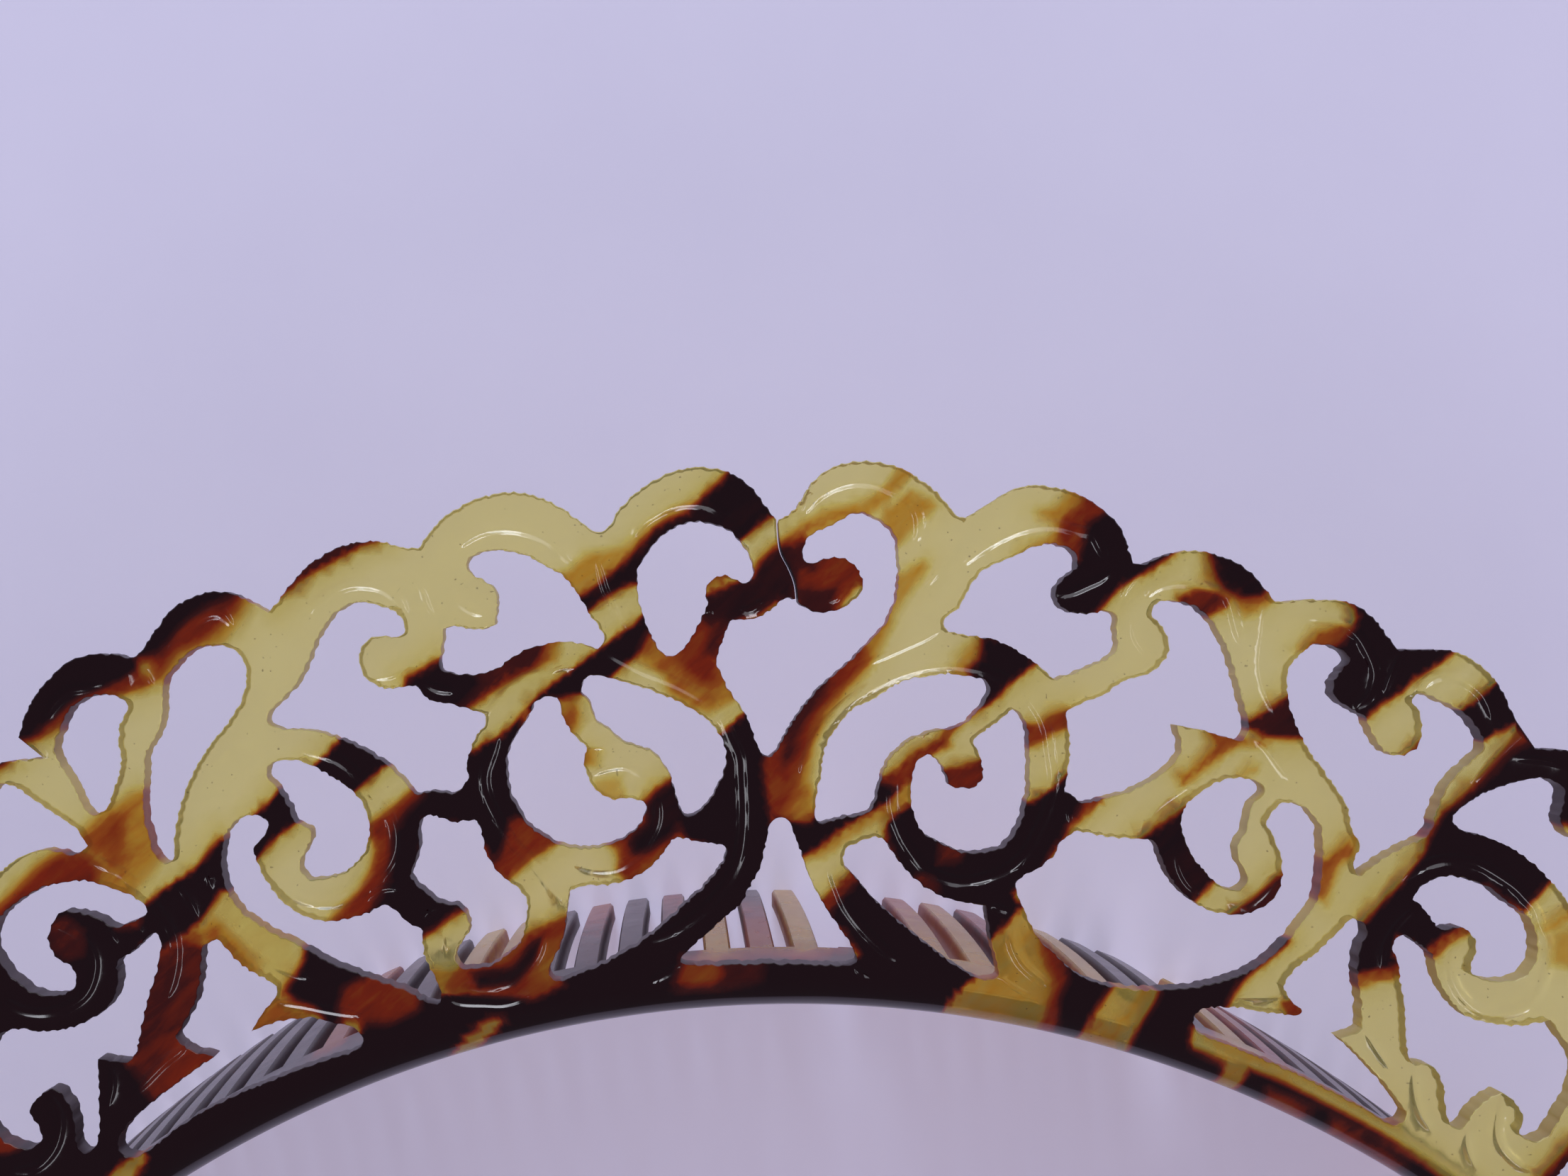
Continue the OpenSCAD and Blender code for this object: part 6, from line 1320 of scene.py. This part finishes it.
def cloudiness(points):
    """How dark the plastic is at each point in plan, from 0, clear amber, to 1, nearly black."""
    dark = np.zeros(len(points))
    halo = np.zeros(len(points))
    for level, soft, outline in CLOUDS:
        shape = np.array([charted(p) for p in outline])
        near = in_box(points, shape, HALO_REACH)
        if not len(near):
            continue
        gap = to_segments(points[near], shape, np.roll(shape, -1, axis=0))[0].min(axis=1)
        depth = np.where(inside(points[near], shape), gap, -gap)
        share = np.clip(0.5 + depth / (2 * soft), 0, 1)
        share = share * share * (3 - 2 * share)
        dark[near] += (level - dark[near]) * share
        fall = np.clip(1 + depth / HALO_REACH, 0, 1)
        halo[near] = np.maximum(halo[near], HALO * level * fall * fall)
    return np.maximum(dark, halo)


def tooth_tones(points):
    """How dark each tooth is, and how far a point belongs to the teeth and not to the sheet above them."""
    number = (np.degrees(np.arctan2(points[:, 0], points[:, 1])) - FIRST_TOOTH) / TOOTH_ANGLE
    down = DEPTH - points[:, 2]
    apart = np.clip((down - FLANGE + 1) / 2, 0, 1)
    number += (np.round(number) - number) * apart
    numbers, roots, tips = np.array(TOOTH_TONES).T
    root, tip = np.interp(number, numbers, roots), np.interp(number, numbers, tips)
    tone = root + (tip - root) * np.clip((down - FLANGE) / (DEPTH - FLANGE), 0, 1)
    share = np.clip((down - TONE_START) / (FLANGE - TONE_START), 0, 1)
    return tone, share


def placed(points):
    """Points in the comb's drawing, in millimetres, moved to the frame, in metres."""
    lowest = ARCH * math.cos(math.radians(ARCH_HALF))
    middle = (ARCH + CREST + lowest) / 2
    moved = points.copy()
    moved[:, 1] -= middle
    return moved * MM


def welded(shape):
    """The shape's points without doubles, each one's first vertex, and the faces between the points."""
    points = np.vstack(shape.points)
    keys = np.round(points, WELD_DIGITS)
    _, first, same = np.unique(keys, axis=0, return_index=True, return_inverse=True)
    same = same.ravel()
    faces = []
    for face in shape.faces:
        ids = [int(same[i]) for i in face]
        ids = [v for i, v in enumerate(ids) if v != ids[i - 1]]
        if len(set(ids)) == len(ids) and len(ids) > 2:
            faces.append(ids)
    return points[first], first, faces


def build_comb(material):
    """The comb's mesh, with its darkness and its frost as attributes of the points."""
    rng = np.random.default_rng(RNG_SEED)
    shape = Shape()
    add_crest(shape, rng)
    add_teeth(shape, rng)
    points, first, faces = welded(shape)
    mesh = bpy.data.meshes.new("comb_sheet")
    mesh.from_pydata([tuple(p) for p in placed(points)], [], faces)
    mesh.validate()
    bm = bmesh.new()
    bm.from_mesh(mesh)
    bmesh.ops.recalc_face_normals(bm, faces=bm.faces)
    open_edges = sum(1 for e in bm.edges if len(e.link_faces) != 2)
    bm.to_mesh(mesh)
    bm.free()
    dark = cloudiness(points[:, :2])
    tone, share = tooth_tones(points)
    dark += (tone - dark) * share
    for name, values in (("cloud", dark), ("sawn", np.concatenate(shape.sawn)[first])):
        mesh.attributes.new(name, "FLOAT", "POINT").data.foreach_set("value", values.astype(np.float32))
    mesh.shade_smooth()
    mesh.set_sharp_from_angle(angle=math.radians(SHARP_ANGLE))
    mesh.materials.append(material)
    piece = bpy.data.objects.new("comb_sheet", mesh)
    bpy.context.scene.collection.objects.link(piece)
    print("comb_sheet", len(mesh.vertices), "vertices", sum(len(p.vertices) - 2 for p in mesh.polygons),
          "triangles", open_edges, "open edges")
    return piece


# Materials

def colour(r, g, b):
    """An sRGB colour, from 0 to 255, as the renderer's linear values."""
    def linear(c):
        c /= 255
        return c / 12.92 if c <= 0.04045 else ((c + 0.055) / 1.055) ** 2.4
    return (linear(r), linear(g), linear(b), 1)


class Nodes:
    """Short forms for building a material."""

    def __init__(self, name):
        self.material = bpy.data.materials.new(name)
        self.material.use_nodes = True
        self.tree = self.material.node_tree
        self.tree.nodes.clear()

    def add(self, kind, **values):
        node = self.tree.nodes.new(kind)
        for key, value in values.items():
            setattr(node, key, value)
        return node

    def link(self, a, b):
        self.tree.links.new(a, b)

    def math(self, operation, a, b, clamp=False):
        node = self.add("ShaderNodeMath", operation=operation, use_clamp=clamp)
        for socket, value in zip(node.inputs, (a, b)):
            if isinstance(value, (int, float)):
                socket.default_value = value
            else:
                self.link(value, socket)
        return node.outputs[0]

    def plus(self, a, b, clamp=False):
        return self.math("ADD", a, b, clamp)

    def minus(self, a, b):
        return self.math("SUBTRACT", a, b)

    def times(self, a, b, clamp=False):
        return self.math("MULTIPLY", a, b, clamp)

    def mix(self, share, start, rgba):
        """A colour, moved by a share towards a plain one."""
        node = self.add("ShaderNodeMix", data_type="RGBA")
        self.link(share, node.inputs["Factor"])
        self.link(start, node.inputs["A"])
        node.inputs["B"].default_value = rgba
        return node.outputs["Result"]

    def surface(self, base):
        """A shader of a linked base colour, which the material's output shows."""
        shader = self.add("ShaderNodeBsdfPrincipled")
        self.link(base, shader.inputs["Base Color"])
        out = self.add("ShaderNodeOutputMaterial")
        self.link(shader.outputs["BSDF"], out.inputs["Surface"])
        return shader

    def noise(self, vector, scale, detail=2.0, rough=0.5, distortion=0.0):
        node = self.add("ShaderNodeTexNoise")
        node.inputs["Scale"].default_value = scale
        node.inputs["Detail"].default_value = detail
        node.inputs["Roughness"].default_value = rough
        node.inputs["Distortion"].default_value = distortion
        self.link(vector, node.inputs["Vector"])
        return node.outputs["Fac"]

    def ramp(self, value, stops):
        node = self.add("ShaderNodeValToRGB")
        elements = node.color_ramp.elements
        while len(elements) < len(stops):
            elements.new(0.5)
        for element, (at, rgba) in zip(elements, stops):
            element.position = at
            element.color = rgba
        self.link(value, node.inputs["Fac"])
        return node.outputs["Color"]

    def mapping(self, vector, scale, rotation=(0, 0, 0)):
        node = self.add("ShaderNodeMapping")
        node.inputs["Scale"].default_value = scale
        node.inputs["Rotation"].default_value = rotation
        self.link(vector, node.inputs["Vector"])
        return node.outputs["Vector"]


def ragged_clouds(n, place, cloud, frosted):
    """How dark the plastic is, with the clouds' rims made ragged. Sawn walls show it end on, so deeper."""
    along = n.mapping(place, (1.0, 1.0, 1.0), (0, 0, -0.72))
    streaks = n.noise(n.mapping(along, (260, 900, 400)), 1.0, 3, 0.6, 0.3)
    ragged = n.times(n.minus(streaks, 0.5), 0.34)
    band = n.times(n.times(cloud, n.minus(1.05, cloud)), 4.0, clamp=True)
    veil = n.times(n.minus(n.noise(place, 90, 2, 0.5), 0.5), 0.10)
    dark = n.plus(cloud, n.plus(n.times(ragged, band), veil), clamp=True)
    return n.plus(dark, n.times(frosted, 0.18), clamp=True)


def amber(n, place, dark, frosted):
    """The colour: amber to black by darkness, with fine specks, paler where it is frosted."""
    tint = n.ramp(dark, [
        (0.0, colour(255, 242, 158)), (0.12, colour(248, 228, 118)), (0.34, colour(232, 172, 52)),
        (0.45, colour(200, 104, 26)), (0.62, colour(164, 46, 6)), (0.78, colour(84, 20, 14)),
        (0.96, colour(34, 5, 10))])
    specks = n.math("LESS_THAN", n.noise(place, 3600, 0, 0.5), 0.17)
    tint = n.mix(n.times(specks, n.minus(0.7, n.times(dark, 0.7))), tint, colour(96, 66, 40))
    pale = n.minus(0.30, n.times(dark, 0.12))
    return n.mix(n.times(frosted, pale), tint, colour(140, 116, 124))


def tortoiseshell():
    """Clear honey amber with red-brown to black clouds, polished, frosted where sawn, finely scratched."""
    n = Nodes("tortoiseshell_plastic")
    place = n.add("ShaderNodeTexCoord").outputs["Object"]
    cloud = n.add("ShaderNodeAttribute", attribute_type="GEOMETRY", attribute_name="cloud").outputs["Fac"]
    sawn = n.add("ShaderNodeAttribute", attribute_type="GEOMETRY", attribute_name="sawn").outputs["Fac"]
    frosted = n.times(sawn, sawn)
    dark = ragged_clouds(n, place, cloud, frosted)
    shader = n.surface(amber(n, place, dark, frosted))
    clear = n.minus(0.86, n.times(dark, 0.86))
    n.link(n.times(clear, n.minus(1.0, n.times(sawn, 0.5))), shader.inputs["Transmission Weight"])
    shader.inputs["IOR"].default_value = 1.5
    rough = n.plus(0.05, n.times(n.noise(place, 600, 3, 0.6), 0.12))
    n.link(n.plus(rough, n.times(sawn, 0.36)), shader.inputs["Roughness"])
    scratch = n.noise(n.mapping(place, (5200, 240, 240), (0, 0, 0.5)), 1.0, 2, 0.7)
    bump = n.add("ShaderNodeBump")
    bump.inputs["Strength"].default_value = 0.35
    bump.inputs["Distance"].default_value = 0.0003
    n.link(n.plus(n.noise(place, 150, 1, 0.5), n.times(scratch, 0.02)), bump.inputs["Height"])
    n.link(bump.outputs["Normal"], shader.inputs["Normal"])
    return n.material


def floor_with_painted_glow():
    """The matt, pale lavender surface that the comb stands on, with a painted glow: a faint pinkish
    emission of its own that lifts the comb's shadows on it.
    """
    n = Nodes("pale_floor_with_painted_glow")
    place = n.add("ShaderNodeTexCoord").outputs["Object"]
    tint = n.ramp(n.noise(place, 40, 3, 0.6), [(0.3, colour(214, 208, 232)), (0.7, colour(218, 212, 235))])
    shader = n.surface(tint)
    shader.inputs["Roughness"].default_value = 0.9
    # painted glow: the floor emits a faint pinkish light of its own, which fills the shade under the comb
    shader.inputs["Emission Color"].default_value = (0.235, 0.20, 0.265, 1)
    shader.inputs["Emission Strength"].default_value = 1.0
    return n.material


# Stage

def add_floor():
    """A wide, plain surface under the tooth tips, which glows faintly with painted light."""
    mesh = bpy.data.meshes.new("floor")
    h, z = FLOOR_HALF, -FLOOR_DROP
    mesh.from_pydata([(-h, -h, z), (h, -h, z), (h, h, z), (-h, h, z)], [], [(0, 1, 2, 3)])
    mesh.materials.append(floor_with_painted_glow())
    floor = bpy.data.objects.new("floor", mesh)
    bpy.context.scene.collection.objects.link(floor)


def add_light(name, place, size, power, tint, glint):
    """A lamp aimed at the crest, as wide and high as its size. A glint lights only the gloss."""
    light = bpy.data.lights.new(name, "AREA")
    light.shape = "RECTANGLE"
    light.size, light.size_y = size
    light.energy = power
    light.color = tint
    lamp = bpy.data.objects.new(name, light)
    lamp.location = place
    lamp.rotation_euler = (Vector(AIM) - Vector(place)).to_track_quat("-Z", "Y").to_euler()
    lamp.visible_diffuse = not glint
    lamp.visible_glossy = glint
    bpy.context.scene.collection.objects.link(lamp)


def add_lights():
    """A dim, even sky and the studio's lamps."""
    world = bpy.data.worlds.new("soft_studio")
    world.use_nodes = True
    sky = world.node_tree.nodes["Background"]
    sky.inputs["Color"].default_value = WORLD_TINT
    sky.inputs["Strength"].default_value = WORLD_STRENGTH
    bpy.context.scene.world = world
    for lamp in LAMPS:
        add_light(*lamp)


def add_camera():
    """Looks straight at the crest's face from the photograph's place, with its framing."""
    eye = placed(np.array([[EYE_X, EYE_Y + CHART_START + ARCH, DEPTH + EYE_DISTANCE]]))[0]
    data = bpy.data.cameras.new("camera")
    data.sensor_width = SENSOR
    data.lens = PX_PER_MM * EYE_DISTANCE / PHOTO_WIDTH * data.sensor_width
    data.shift_x = (VIEW_X - EYE_X) * PX_PER_MM / PHOTO_WIDTH
    data.shift_y = (VIEW_Y - EYE_Y) * PX_PER_MM / PHOTO_WIDTH
    data.clip_start = 0.01
    data.clip_end = 20
    camera = bpy.data.objects.new("camera", data)
    camera.location = eye
    bpy.context.scene.collection.objects.link(camera)
    bpy.context.scene.camera = camera


add_camera()
comb = build_comb(tortoiseshell())
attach(comb, "root")
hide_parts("comb")
add_floor()
add_lights()
bpy.context.scene.view_settings.view_transform = "Standard"
